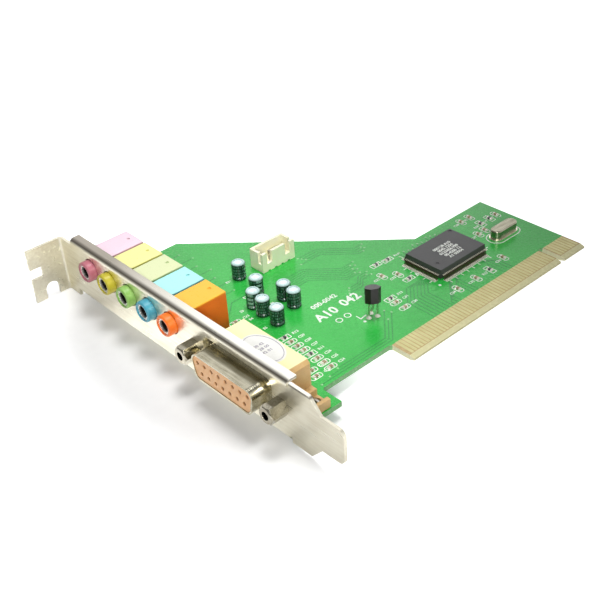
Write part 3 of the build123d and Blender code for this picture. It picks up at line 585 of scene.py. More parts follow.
@dataclass(frozen=True)
class FoldFinish(Finish):
    """Folded sheet with a painted shade line round the bend, and a folded top painted from a pale highlight
    at one end to grey shade at the other.
    """

    bend: str = "#857E72"
    flange_near_highlight: str = "#FFFDF2"
    flange_far_shade: str = "#A9A296"
    bend_top: float = 0.0
    bend_depth: float = 0.9
    near_end: float = 0.0
    far_end: float = 0.0

    def paint(self, tree: bpy.types.NodeTree, place: Socket, mottle: Socket) -> Socket:
        """Blend the two tones, then paint shade up through the bend and, on the folded top, a highlight that
        greys to shade along its length.

        Args:
            tree: the material's tree.
            place: object coordinates.
            mottle: share of the deeper tone, from 0 to 1.

        Returns:
            The colour socket.
        """
        body = super().paint(tree, place, mottle)
        where = axes_of(tree, place)
        middle = self.bend_top - 0.4 * self.bend_depth * MM
        bend_shade_share = ramp(tree, where["Z"], self.bend_top - self.bend_depth * MM, middle, curve="SMOOTHSTEP")
        beyond = ramp(tree, where["Z"], middle, self.bend_top - 0.02 * MM)
        along = ramp(tree, where["Y"], self.near_end, self.far_end)
        # the folded top gets a painted highlight near one end that greys to painted shade at the other; the
        # bend gets painted shade
        flat = mix(tree, along, linear(self.flange_near_highlight), linear(self.flange_far_shade))
        shaded_bend = mix(tree, bend_shade_share, body, linear(self.bend))
        return mix(tree, beyond, shaded_bend, flat)


@dataclass(frozen=True)
class LeadFinish(Finish):
    """Formed leads: bright on their level runs, with painted shade on the steep faces between them."""

    painted_slope_shade: str = "#3E3820"

    def paint(self, tree: bpy.types.NodeTree, place: Socket, mottle: Socket) -> Socket:
        """Blend the two tones, and paint shade on the faces that stand steep.

        Args:
            tree: the material's tree.
            place: object coordinates.
            mottle: share of the deeper tone, from 0 to 1.

        Returns:
            The colour socket.
        """
        level = super().paint(tree, place, mottle)
        rise = axes_of(tree, node(tree, "NewGeometry").outputs["True Normal"])["Z"]
        # steep faces get a painted shade
        return mix(tree, ramp(tree, rise, 0.75, 0.55), level, linear(self.painted_slope_shade))


@dataclass(frozen=True)
class BoardFinish(Finish):
    """Green solder mask on the faces, bare laminate on the contact tongue and the cut edges, with painted
    light on the tongue's side edges and painted shade on its edges that face -Y.
    """

    laminate: str = "#C0A672"
    cut_edge: str = "#74AE70"
    tongue_side_painted_light: str = "#F0ECC6"
    tongue_front_painted_shade: str = "#B2AD76"
    bevel: str = "#DED9A8"
    tongue_start: float = 0.0
    tongue_top: float = 0.0
    bevel_top: float = 0.0

    def paint(self, tree: bpy.types.NodeTree, place: Socket, mottle: Socket) -> Socket:
        """Choose mask, laminate, cut edge or bevel by place and by the way the face looks, with painted light
        and painted shade on the tongue's edges.

        Args:
            tree: the material's tree.
            place: object coordinates.
            mottle: share of the deeper tone, from 0 to 1.

        Returns:
            The colour socket.
        """
        shown = super().paint(tree, place, mottle)
        where = axes_of(tree, place)
        facing = axes_of(tree, node(tree, "NewGeometry").outputs["True Normal"])
        edge = sums(tree, "LESS_THAN", sums(tree, "ABSOLUTE", facing["Z"]), 0.5)
        facing_front = sums(tree, "LESS_THAN", facing["Y"], -0.8)
        beyond = sums(tree, "GREATER_THAN", where["X"], self.tongue_start)
        below = sums(tree, "LESS_THAN", where["Y"], self.tongue_top)
        tongue = sums(tree, "MULTIPLY", beyond, below)
        tip = sums(tree, "LESS_THAN", where["Y"], self.bevel_top)
        # each layer covers the ones before it
        layers = [
            (edge, self.cut_edge),
            (tongue, self.laminate),
            (sums(tree, "MULTIPLY", tongue, tip), self.bevel),
            # painted light on the tongue's side edges, and painted shade on its edges that face -Y
            (sums(tree, "MULTIPLY", tongue, edge), self.tongue_side_painted_light),
            (sums(tree, "MULTIPLY", tongue, facing_front), self.tongue_front_painted_shade),
        ]
        for cover, tone in layers:
            shown = mix(tree, cover, shown, linear(tone))
        return shown


@dataclass(frozen=True)
class SleeveFinish(Finish):
    """Shrunk dark film with a pale dashed band and small print, stretched thin over the can's edge."""

    band: str = "#8DB3A4"
    small_print: str = "#4F7868"
    axis_x: float = 0.0
    axis_y: float = 0.0
    turn: float = 0.0
    band_half: float = 0.42
    dash_mm: float = 1.3
    row_mm: float = 0.95
    lip: str = "#BCD8D6"
    lip_level: float = 0.0
    lip_depth: float = 0.45

    def paint(self, tree: bpy.types.NodeTree, place: Socket, mottle: Socket) -> Socket:
        """Blend the two tones, and print by the angle about the can's axis and the height up it.

        Args:
            tree: the material's tree.
            place: object coordinates.
            mottle: share of the deeper tone, from 0 to 1.

        Returns:
            The colour socket.
        """
        film = super().paint(tree, place, mottle)
        axis = (-self.axis_x, -self.axis_y, 0.0)
        centred = node(tree, "Mapping", {"Vector": place, "Location": axis}).outputs[0]
        faced = node(tree, "Mapping", {"Vector": centred, "Rotation": (0.0, 0.0, self.turn)}).outputs[0]
        where = axes_of(tree, faced)
        angle = sums(tree, "ARCTAN2", where["Y"], where["X"])
        band = sums(tree, "LESS_THAN", sums(tree, "ABSOLUTE", angle), self.band_half)
        wave = sums(tree, "MULTIPLY", where["Z"], 2 * math.pi / (self.dash_mm * MM))
        dash = sums(tree, "GREATER_THAN", sums(tree, "SINE", wave), -0.3)
        banded = mix(tree, sums(tree, "MULTIPLY", band, dash), film, linear(self.band))
        rows = sums(tree, "MULTIPLY", where["Z"], 1 / (self.row_mm * MM))
        tall = sums(tree, "GREATER_THAN", sums(tree, "FRACT", rows), 0.4)
        # eight marks to a radian are letters about a quarter of a millimetre wide on these cans
        spot = node(tree, "CombineXYZ", {0: angle, 1: sums(tree, "FLOOR", rows)}).outputs[0]
        struck = sums(tree, "GREATER_THAN", noise(tree, spot, 8.0, 0.0), 0.5)
        printed = mix(tree, sums(tree, "MULTIPLY", tall, struck), banded, linear(self.small_print))
        start = self.lip_level - self.lip_depth * MM
        thin = ramp(tree, where["Z"], start, self.lip_level - 0.05 * MM)
        return mix(tree, thin, printed, linear(self.lip))


# Tin-plated drawn steel: bright, with drawing lines along the shell that make its reflections streaky.
SHELL_TIN = Finish(
    "tin_plated_drawn_steel", "#D2CDB8", "#A39D86", 0.2, 1.0, grain=Grain.ROLLED, relief_mm=0.012,
    grain_mm=0.6,
)
# Nickel-plated screws: darker and a little yellow, mirror-like on their flats.
SCREW_NICKEL = Finish(
    "nickel_plated_screw_steel", "#C2BCAA", "#948E7C", 0.09, 1.0, relief_mm=0.006, grain_mm=0.5,
)
# Gold flash on copper: pale and satin, with fine wear along the strips.
CONTACT_GOLD = Finish(
    "gold_flashed_copper", "#D9D39C", "#CBC388", 0.46, 0.4, grain=Grain.ROLLED, grain_mm=0.4,
    relief_mm=0.004, edge_mm=0.03,
)
# Rolled brass strip for springs and port contacts.
SPRING_BRASS = Finish(
    "rolled_brass_strip", "#D9BE74", "#BFA257", 0.28, 1.0, grain=Grain.ROLLED, relief_mm=0.004,
    edge_mm=0.05,
)
# Bright tin over copper wire: soft grey with small dull patches.
TINNED_WIRE = Finish(
    "tinned_copper_wire", "#D6D3CA", "#B8B4A9", 0.3, 1.0, relief_mm=0.006, grain_mm=0.4, edge_mm=0.05,
)
TINNED_METAL = Finish("tinned_steel_clip", "#CCC8BE", "#AFAAA0", 0.3, 1.0, relief_mm=0.006, edge_mm=0.06)
# Tin on the chip's leads: pale satin on the shoulders and feet, with painted shade on their steep faces.
LEAD_TIN = LeadFinish(
    "tin_plated_lead_frame", "#FFFBE6", "#F2ECD4", 0.42, 0.3, relief_mm=0.003, grain_mm=0.4,
    edge_mm=0.03,
)
# Solder: bright, wet-looking, with slight ripples.
SOLDER = Finish(
    "bright_tin_solder", "#F4F3E8", "#DEDCD0", 0.28, 0.35, relief_mm=0.02, grain_mm=0.5, edge_mm=0.02,
)
# Nickel-plated drawn can and rim of the crystal: warm, softly mirrored.
CRYSTAL_STEEL = Finish(
    "nickel_plated_drawn_can", "#AFAB98", "#8A8672", 0.26, 1.0, grain=Grain.DRAWN, relief_mm=0.005,
)
CRYSTAL_RIM = Finish("nickel_plated_base", "#EFE9DA", "#D8D1BF", 0.3, 1.0, relief_mm=0.004)
# Drawn aluminium: almost white, with a faint mottle.
CAN_ALUMINIUM = Finish("drawn_aluminium", "#E6F2F3", "#CCDEE0", 0.3, 1.0, relief_mm=0.006, grain_mm=0.5)
# End caps of the chip parts, wetted with solder.
END_CAP_TIN = Finish(
    "soldered_end_cap", "#F4F2E6", "#DEDBCE", 0.3, 0.35, relief_mm=0.01, grain_mm=0.4, edge_mm=0.05,
)
# Natural nylon: milky, slightly green-yellow.
HEADER_NYLON = Finish(
    "natural_nylon", "#FFFCE2", "#FFFAD4", 0.42, ior=1.53, relief_mm=0.012, grain_mm=0.6, milky=0.15,
)
# Coated label paper: white with a faint fibre.
STICKER_PAPER = Finish(
    "coated_label_paper", "#ECECE7", "#E4E4DF", 0.5, relief_mm=0.01, grain_mm=0.4, edge_mm=0.03,
)
# Moulded rubber under the cans.
BUNG_RUBBER = Finish("moulded_rubber", "#161615", "#22211F", 0.62, ior=1.52, relief_mm=0.02, grain_mm=0.4)
# Filled epoxy: near black; the mould's fine grain turns grey where the light grazes it.
REGULATOR_EPOXY = Finish(
    "moulded_epoxy_body", "#0B0C0A", "#161715", 0.36, ior=1.5, relief_mm=0.016, grain_mm=0.45,
)
CHIP_EPOXY = Finish(
    "matt_moulded_epoxy", "#2B2B2C", "#383839", 0.42, ior=1.58, relief_mm=0.02, grain_mm=0.45,
)
# Dark resistor glaze and fired tan ceramic.
RESISTOR_GLAZE = Finish("resistor_glaze", "#1D1A18", "#2B2623", 0.3, ior=1.52, grain_mm=0.4, edge_mm=0.05)
CAPACITOR_CERAMIC = Finish("fired_ceramic", "#A28E66", "#8A7550", 0.44, ior=1.6, grain_mm=0.4, edge_mm=0.05)
# White epoxy ink: flat, a little uneven at this size.
SILK_INK = Finish(
    "white_silkscreen_ink", "#F7F9F2", "#E6EEE2", 0.5, relief_mm=0.006, grain_mm=0.5, edge_mm=0.02,
)
# Laser-pale ink on the chip.
CHIP_INK = Finish(
    "pale_marking_ink", "#F0F2EC", "#DCDFD8", 0.5, relief_mm=0.004, grain_mm=0.5, edge_mm=0.01,
)
# Grey ink on the label.
LABEL_INK = Finish("grey_label_ink", "#8F8897", "#A39DAA", 0.5, relief_mm=0.004, grain_mm=0.5, edge_mm=0.02)
# Mask over copper: a deeper green than mask over bare laminate.
TRACE_MASK = Finish(
    "solder_mask_over_copper", "#239640", "#1E8A3A", 0.26, ior=1.5, relief_mm=0.006, grain_mm=0.6,
    edge_mm=0.03,
)
# Plugged via: a small pale dot in the mask.
VIA_TIN = Finish("tented_via", "#A9D8A4", "#8CC48C", 0.3, relief_mm=0.01, grain_mm=0.3, edge_mm=0.03)


@dataclass(frozen=True)
class JackColour:
    """The moulding's own colour, its deeper tone, and a paler painted highlight for its top."""

    colour: str
    shade: str
    skin: str


class Jack(Enum):
    """The five jacks by colour."""

    PINK = JackColour("#C07280", "#B66674", "#FBDDEC")
    YELLOW = JackColour("#C2B632", "#B8AA2A", "#F4F39E")
    GREEN = JackColour("#8EBC60", "#82B254", "#DCE3B2")
    BLUE = JackColour("#4CA2B6", "#4094AA", "#ACEEEC")
    ORANGE = JackColour("#FC7C24", "#F26E1B", "#F8BA34")


NODE_FINISHES: dict[str, Finish] = {
    "front_contacts": CONTACT_GOLD,
    "rear_contacts": CONTACT_GOLD,
    "game_port_shell": SHELL_TIN,
    "game_port_contacts": SPRING_BRASS,
    "game_port_board_locks": TINNED_METAL,
    "game_port_nuts": TINNED_METAL,
    "upper_hex_screw": SCREW_NICKEL,
    "lower_hex_screw": SCREW_NICKEL,
    "oval_sticker": STICKER_PAPER,
    "audio_header_housing": HEADER_NYLON,
    "audio_header_pins": TINNED_WIRE,
    "capacitor_bungs": BUNG_RUBBER,
    "capacitor_wires": TINNED_WIRE,
    "regulator_body": REGULATOR_EPOXY,
    "regulator_legs": TINNED_WIRE,
    "sound_chip_body": CHIP_EPOXY,
    "sound_chip_leads": LEAD_TIN,
    "crystal_can": CRYSTAL_STEEL,
    "crystal_base": CRYSTAL_RIM,
    "crystal_wires": TINNED_WIRE,
    "chip_resistors": RESISTOR_GLAZE,
    "chip_capacitors": CAPACITOR_CERAMIC,
    "chip_end_caps": END_CAP_TIN,
}


def dress(name: str, finish: Finish) -> None:
    """Give a CAD node its finish.

    Args:
        name: the node.
        finish: the finish.
    """
    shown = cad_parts[name]
    for slot in shown.material_slots:
        slot.link = "OBJECT"
        slot.material = finish.material()
    LOG.info("%s: %s", name, finish.name)


# Sub-assemblies


@dataclass
class Connectors:
    """Bracket, jacks, game port, header, label and everything else that keeps its CAD shape."""

    card: Card
    label_line: float = 0.2
    label_inset: float = 0.6
    # the painted highlight on the bracket's folded top greys to painted shade between these two places along
    # Y
    pale_flange: float = 28.0
    grey_flange: float = 78.0

    def dress(self) -> None:
        """Finish the plain nodes, the jacks, the bracket and the port's mouldings."""
        for name, finish in NODE_FINISHES.items():
            dress(name, finish)
        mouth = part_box("pink_jack_bush")[0][0]
        # Nickel-plated bush: a painted highlight ring at the mouth of each jack, and painted shade further
        # in.
        bush = PaintedLightFinish(
            "nickel_plated_bush", "#24211E", "#34302B", 0.25, 0.6, grain=Grain.DRAWN, relief_mm=0.004,
            skin="#FFFDF6", face_axis="X", face_level=mouth, face_depth=-0.7,
        )
        for jack in Jack:
            word, tone = jack.name.lower(), jack.value
            # Moulded thermoplastic: saturated and glossy, with a paler painted highlight on top.
            moulding = PaintedLightFinish(
                f"{word}_moulded_plastic", tone.colour, tone.shade, 0.34, relief_mm=0.008, grain_mm=0.5,
                skin=tone.skin, face_level=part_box(f"{word}_jack_housing")[1][2], edge_mm=0.16,
            )
            dress(f"{word}_jack_housing", moulding)
            dress(f"{word}_jack_bush", bush)
            dress(f"{word}_jack_terminals", SPRING_BRASS)
        ends = np.array([[0.0, self.pale_flange, 0.0], [0.0, self.grey_flange, 0.0]])
        near_end, far_end = self.card.metres(ends)[:, 1]
        # Zinc-plated sheet steel: a pale warm satin with long rolling streaks, with painted shade along the
        # fold and a painted highlight that greys to painted shade along the folded top.
        steel = FoldFinish(
            "zinc_plated_sheet_steel", "#EEEAD8", "#E0DAC6", 0.34, 1.0, grain=Grain.ROLLED, relief_mm=0.004,
            bend_top=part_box("mounting_bracket")[1][2], near_end=float(near_end), far_end=float(far_end),
        )
        dress("mounting_bracket", steel)
        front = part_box("game_port_insulator")[0][0]
        # Thermoplastic of the port's front: matt peach with a faint mould grain, and painted shade, brown,
        # down its holes.
        insulator = PaintedLightFinish(
            "moulded_polyester_front", "#8E5A38", "#7E4E30", 0.46, relief_mm=0.012, grain_mm=0.5,
            skin="#EFBA84", face_axis="X", face_level=front, face_depth=-0.5, back_level=front + 5.0 * MM,
        )
        dress("game_port_insulator", insulator)
        # Moulded thermoplastic of the port's block: tan sides under a pale cream top, a painted highlight.
        block = PaintedLightFinish(
            "moulded_polyester_block", "#D6B37C", "#CCA76C", 0.42, relief_mm=0.012, grain_mm=0.6,
            skin="#F8F4BC", face_level=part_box("game_port_housing")[1][2], face_depth=0.15, edge_mm=0.16,
        )
        dress("game_port_housing", block)

    def build(self) -> None:
        """A thin grey line round the label and three rows of plain numbers in it."""
        low, high = self.card.box("oval_sticker")
        half = (high - low)[:2] / 2 - self.label_inset
        path = ellipse(half[0], half[1]) + ((low + high) / 2)[:2]
        ring = carried(path, self.label_line, 0.01, high[2], closed=True)
        middle = (low + high) / 2
        rows = [("00 42", 1.7), ("128 00", 0.0), ("42 01", -1.7)]
        numbers = lettering([(word, middle[0], middle[1] + rise, 0.95) for word, rise in rows], 0.01, high[2])
        self.card.piece("label_print", Surface.joined([ring, numbers]), LABEL_INK, "sticker_paper")


@dataclass
class Capacitors:
    """Seven small electrolytic capacitors."""

    count: int = 7
    turn_step: float = 0.9

    def dress(self) -> None:
        """Aluminium for the cans and a printed film of its own for each sleeve."""
        for number in range(1, self.count + 1):
            dress(f"capacitor_can_{number}", CAN_ALUMINIUM)
            low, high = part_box(f"capacitor_sleeve_{number}")
            # Shrunk printed film: green-black gloss with a paler dashed band.
            film = SleeveFinish(
                f"printed_sleeve_film_{number}", "#0B2419", "#153A2A", 0.2, relief_mm=0.01, grain_mm=0.5,
                axis_x=(low[0] + high[0]) / 2, axis_y=(low[1] + high[1]) / 2, turn=self.turn_step * number,
                lip_level=high[2],
            )
            dress(f"capacitor_sleeve_{number}", film)


@dataclass
class Copper:
    """The board itself with its traces and vias."""

    card: Card
    tongue_start: float = 41.14
    tongue_height: float = 8.26
    bevel_length: float = 1.6
    trace_width: float = 0.3
    trace_rise: float = 0.02
    trace_start: float = 8.3
    trace_turn: float = 16.4
    contact_pitch: float = 1.27
    key_middle: float = 105.55
    near_pad: float = 38.7
    far_pad: float = 6.6
    side_pad: float = 39.6
    rear_pad: float = 3.2
    lead_inset: float = 2.35
    lead_pitch: float = 0.5
    pad_gap: float = 0.45

    def dress(self) -> None:
        """Mask, laminate and cut edges of the board."""
        tongue = self.card.metres(np.array([self.tongue_start - 0.1, self.tongue_height - 0.3, 0.0]))
        bevel = self.card.metres(np.array([0.0, self.bevel_length, 0.0]))
        # Glass laminate under green solder mask: glossy, so that it pales where it mirrors the studio.
        board = BoardFinish(
            "green_solder_mask", "#34BA49", "#2CAF43", 0.26, relief_mm=0.006, grain_mm=1.2, edge_mm=0.05,
            tongue_start=float(tongue[0]), tongue_top=float(tongue[1]), bevel_top=float(bevel[1]),
        )
        dress("circuit_board", board)

    def open_lanes(self) -> list[Points]:
        """Paths of the traces that stop on open board, a few straight runs joined at half right angles.

        Returns:
            X and Y of each trace's corners.
        """
        lanes: list[Points] = []
        family = [
            (np.array([[41.0, 52.6], [50.0, 52.6], [58.0, 44.6], [63.0, 44.6]]), (-0.45, -0.95), 7),
            (np.array([[53.0, 58.0], [60.5, 58.0], [68.8, 49.7], [72.0, 49.7]]), (-0.5, -1.05), 4),
            (np.array([[24.8, 31.6], [36.0, 31.6], [38.6, 29.0], [47.0, 29.0]]), (0.0, 0.0), 1),
            (np.array([[17.0, 9.4], [43.0, 9.4], [52.0, 18.4]]), (-0.45, 0.95), 4),
            (np.array([[17.0, 50.6], [20.4, 50.6], [24.4, 54.6], [31.0, 54.6]]), (0.1, 4.6), 8),
            (np.array([[50.6, 33.4], [56.0, 33.4], [58.4, 35.8], [62.0, 35.8]]), (0.0, 1.0), 3),
        ]
        for path, step, count in family:
            for number in range(count):
                lane = path + np.array(step) * number
                # the ends are staggered, so that the vias stand apart
                lane[0] += (lane[1] - lane[0]) * 0.16 * (number % 3)
                lane[-1] -= (lane[-1] - lane[-2]) * 0.3 * (number % 2)
                lanes.append(lane)
        return lanes

    def clear(self, lanes: list[Points]) -> list[Points]:
        """The traces that keep their distance from every pad of the chip parts.

        Args:
            lanes: the traces' corners.

        Returns:
            Those that stay clear.
        """
        pads, sizes = self.card.middles("chip_end_caps")
        part = np.linspace(0.0, 1.0, 80)[:, None, None]
        kept = []
        for lane in lanes:
            spots = (lane[None, :-1] * (1 - part) + lane[None, 1:] * part).reshape(-1, 1, 2)
            gaps = (np.abs(spots - pads[None, :, :2]) - sizes[None, :, :2] / 2).max(axis=2)
            if gaps.min() > self.pad_gap:
                kept.append(lane)
        return kept

    def stubs(self) -> list[Points]:
        """Short traces above the chip, from every third lead.

        Returns:
            X and Y of each trace's corners.
        """
        low, high = self.card.box("sound_chip_leads")
        lanes: list[Points] = []
        for number in range(0, 36, 3):
            lead = low[0] + self.lead_inset + self.lead_pitch * number
            reach = high[1] + 1.2 + 0.55 * (number % 4)
            lanes.append(np.array([[lead, high[1]], [lead, reach], [lead + 0.6, reach + 0.6]]))
        return lanes

    def chip_lanes(self) -> list[Points]:
        """Paths of the traces from the contacts to the chip.

        Returns:
            X and Y of each trace's corners.
        """
        low, high = self.card.box("sound_chip_leads")
        start, turn = self.trace_start, self.trace_turn
        lanes: list[Points] = []
        # from the contacts up to the chip's lower row, outermost first
        for number in range(9):
            along, across = self.contact_pitch * number, self.lead_inset + self.lead_pitch * number
            pad, lead = self.key_middle - self.near_pad + along, low[0] + across
            lanes.append(np.array([[pad, start], [pad, turn - (lead - pad)], [lead, turn], [lead, low[1]]]))
            pad, lead = self.key_middle - self.far_pad - along, high[0] - across
            lanes.append(np.array([[pad, start], [pad, turn - (pad - lead)], [lead, turn], [lead, low[1]]]))
        # round the corner from the contacts to the chip's near side
        for number in range(7):
            pad = self.key_middle - self.side_pad - self.contact_pitch * number
            lead = low[1] + 3.0 + self.lead_pitch * number
            bend = 3.0 + 0.35 * number
            lanes.append(np.array([[pad, start], [pad, lead - bend], [pad + bend, lead], [low[0], lead]]))
        return lanes

    def rear_lanes(self) -> list[Points]:
        """Paths of the traces below the board, from every other rear contact up to a via.

        Returns:
            X and Y of each trace's corners.
        """
        lanes: list[Points] = []
        for number in range(22):
            pad = self.key_middle - self.rear_pad - 2 * self.contact_pitch * number
            rise = 12.0 + 0.55 * number
            run = 4.0 + 1.5 * (number % 3)
            lanes.append(np.array([[pad, self.trace_start], [pad, rise], [pad - run, rise + run]]))
        return lanes

    def build(self) -> None:
        """Lay the traces on both faces, and a via at each end that stops on open board."""
        loose, short = self.clear(self.open_lanes()), self.clear(self.stubs())
        lanes = loose + short + self.clear(self.chip_lanes())
        strips = [carried(lane, self.trace_width, self.trace_rise, 0.0) for lane in lanes]
        rear, below = self.rear_lanes(), self.card.underside()
        strips += [carried(lane, self.trace_width, self.trace_rise, below - self.trace_rise) for lane in rear]
        self.card.piece("board_traces", Surface.joined(strips), TRACE_MASK, "board_laminate")
        ends = np.array([lane[end] for lane in loose for end in (0, -1)] + [lane[-1] for lane in short])
        centres = np.column_stack([ends, np.zeros(len(ends))])
        dome = np.array([[0.34, 0.0], [0.32, 0.03], [0.16, 0.045]])
        rear_ends = np.array([[*lane[-1], below] for lane in rear])
        domes = [turned(dome, centres, 10), turned(dome * np.array([1.0, -1.0]), rear_ends, 10)]
        self.card.piece("board_vias", Surface.joined(domes), VIA_TIN, "board_laminate")


@dataclass
class Solder:
    """Solder on the pads above the board and round the leads below it."""

    card: Card
    pad_margin: float = 0.22
    cone_foot: float = 0.85
    cone_height: float = 0.95

    def build(self) -> None:
        """Mounds at the chip parts, the chip's leads and the regulator, and cones below the board."""
        middles, sizes = self.card.middles("chip_end_caps")
        caps = mounds(middles[:, :2], sizes[:, :2] / 2 + self.pad_margin, 0.0, 0.16)
        self.card.piece("chip_part_solder", caps, SOLDER, "end_cap_tin")
        feet = self.card.feet("sound_chip_leads")
        low, high = self.card.box("sound_chip_leads")
        beside = np.minimum(feet[:, 0] - low[0], high[0] - feet[:, 0]) < 1.2
        halves = np.where(beside[:, None], np.array([[0.85, 0.19]]), np.array([[0.19, 0.85]]))
        self.card.piece("chip_lead_solder", mounds(feet, halves, 0.0, 0.07), SOLDER, "lead_tin")
        legs = self.card.feet("regulator_legs")
        collar = np.array([[0.8, 0.0], [0.72, 0.16], [0.45, 0.42], [0.28, 0.8]])
        centres = np.column_stack([legs, np.zeros(len(legs))])
        self.card.piece("regulator_solder", turned(collar, centres, 14), SOLDER, "tinned_wire")
        names = [f"{jack.name.lower()}_jack_terminals" for jack in Jack]
        names += ["capacitor_wires", "audio_header_pins", "regulator_legs", "crystal_wires"]
        names.append("game_port_contacts")
        below = np.vstack([self.card.feet(name) for name in names])
        part = np.linspace(0.0, 1.0, 5)
        # the cone's radius falls from the pad to the lead as a hollow curve
        radius = 0.32 + (self.cone_foot - 0.32) * (1 - part) ** 2.2
        cone = np.column_stack([radius, -part * self.cone_height])
        centres = np.column_stack([below, np.full(len(below), self.card.underside())])
        self.card.piece("underside_solder", turned(cone, centres, 12), SOLDER, "tinned_wire")


@dataclass
class Silkscreen:
    """White print on the board: outlines, ticks, dots and plain designators."""

    card: Card
    line: float = 0.25
    ink: float = 0.035
    letter: float = 0.92
    tick: float = 1.0
    tick_gap: float = 0.5
    tick_inset: float = 3.1
    tick_step: float = 2.5

    def strip(self, path: Points, closed: bool = False, line: float | None = None) -> Surface:
        """One printed line.

        Args:
            path: its middle line.
            closed: true for an outline.
            line: its width, where it isn't the usual one.

        Returns:
            The line as a thin strip.
        """
        return carried(path, line or self.line, self.ink, 0.0, closed)

    def chip_parts(self) -> tuple[list[Surface], list[Word]]:
        """Outlines round the chip parts, rounded for capacitors and square for resistors.

        Returns:
            The outlines and the designators with their places.
        """
        lines: list[Surface] = []
        words: list[Word] = []
        kinds = (("chip_resistors", "R", 11, 0.15), ("chip_capacitors", "C", 21, 0.75))
        for name, letter, first, radius in kinds:
            middles, sizes = self.card.middles(name)
            for number, (middle, size) in enumerate(zip(middles, sizes), start=first):
                along = size[0] > size[1]
                length, width = (3.7, 1.75) if along else (1.75, 3.7)
                lines.append(self.strip(rounded(length, width, radius) + middle[:2], closed=True))
                aside = np.array([3.9, 0.0]) if along else np.array([-2.5, -0.3])
                words.append((f"{letter}{number}", *(middle[:2] + aside), self.letter))
        return lines, words

    def chip(self) -> list[Surface]:
        """Ticks at every fifth lead of the chip, and a dot at its first and at the regulator's."""
        low, high = self.card.box("sound_chip_leads")
        along = np.arange(low[0] + self.tick_inset, high[0] - 2.0, self.tick_step)
        across = np.arange(low[1] + self.tick_inset, high[1] - 2.0, self.tick_step)
        lines: list[Surface] = []
        for corner, way in ((low, -1.0), (high, 1.0)):
            near = corner[:2] + way * self.tick_gap
            far = near + way * self.tick
            lines += [self.strip(np.array([[x, near[1]], [x, far[1]]])) for x in along]
            lines += [self.strip(np.array([[near[0], y], [far[0], y]])) for y in across]
        dot = np.array([[0.45, 0.0], [0.42, self.ink]])
        places = np.array([[low[0] - self.tick_gap, low[1] + 0.1, 0.0], [43.8, 20.6, 0.0]])
        lines.append(turned(dot, places, 14))
        return lines

    def outlines(self) -> list[Surface]:
        """Outlines round the crystal and beside the regulator, the port and the jacks."""
        lines: list[Surface] = []
        low, high = self.card.box("crystal_base")
        size = (high - low)[:2] + 1.5
        round_ends = rounded(size[0], size[1], size[1] / 2 - 0.01, 9) + ((low + high) / 2)[:2]
        lines.append(self.strip(round_ends, True, 0.32))
        lines.append(self.strip(np.array([[43.9, 24.0], [43.9, 22.2], [46.2, 22.5]]), line=0.35))
        low, high = self.card.box("game_port_housing")
        lines.append(self.strip(np.array([[high[0] + 0.6, low[1] + 3.0], [high[0] + 0.6, high[1] - 3.0]])))
        low, high = self.card.box("orange_jack_housing")
        last = self.card.box("pink_jack_housing")[1]
        lines.append(self.strip(np.array([[high[0] + 0.6, low[1]], [high[0] + 0.6, last[1]]])))
        return lines

    def board_marks(self) -> tuple[list[Surface], list[Word]]:
        """A board number in the open middle of the board, with two bold marks and two rings below it.

        Returns:
            The rings and the words.
        """
        ring = ellipse(0.95, 0.95, 20)
        rings = [self.strip(ring + np.array([x, 26.1]), True, 0.3) for x in (39.4, 42.6)]
        return rings, [("000-0042", 42.7, 35.7, 1.75), ("A10", 39.0, 30.7, 3.3), ("042", 48.5, 31.1, 3.3)]

    def chip_print(self) -> None:
        """Five lines of plain numbers on the chip."""
        low, high = self.card.box("sound_chip_body")
        middle = (low + high) / 2
        lines = ("000128-A10", "0042 1234", "0123456-789", "00-4200 12", "A1 00004")
        x, y = middle[0] + 0.4, middle[1] + 1.8
        words = [(line, x, y - 1.42 * row, 1.05) for row, line in enumerate(lines)]
        self.card.piece("chip_print", lettering(words, 0.012, high[2], 0.06), CHIP_INK, "chip_epoxy")

    def build(self) -> None:
        """Print all the lines as one piece and all the designators as another."""
        lines, words = self.chip_parts()
        marks, numbers = self.board_marks()
        lines += self.chip() + self.outlines() + marks
        words += numbers
        self.card.piece("silkscreen_lines", Surface.joined(lines), SILK_INK, "sticker_paper")
        for number, jack in enumerate(Jack, start=1):
            low, high = self.card.box(f"{jack.name.lower()}_jack_housing")
            words.append((f"J{number}", high[0] + 2.2, (low[1] + high[1]) / 2, self.letter))
        for number in range(1, 8):
            low, high = self.card.box(f"capacitor_sleeve_{number}")
            words.append((f"E{number}", low[0] - 1.9, (low[1] + high[1]) / 2 + 0.6, self.letter))
        self.card.piece("silkscreen_letters", lettering(words, self.ink, 0.0), SILK_INK, "sticker_paper")
        self.chip_print()


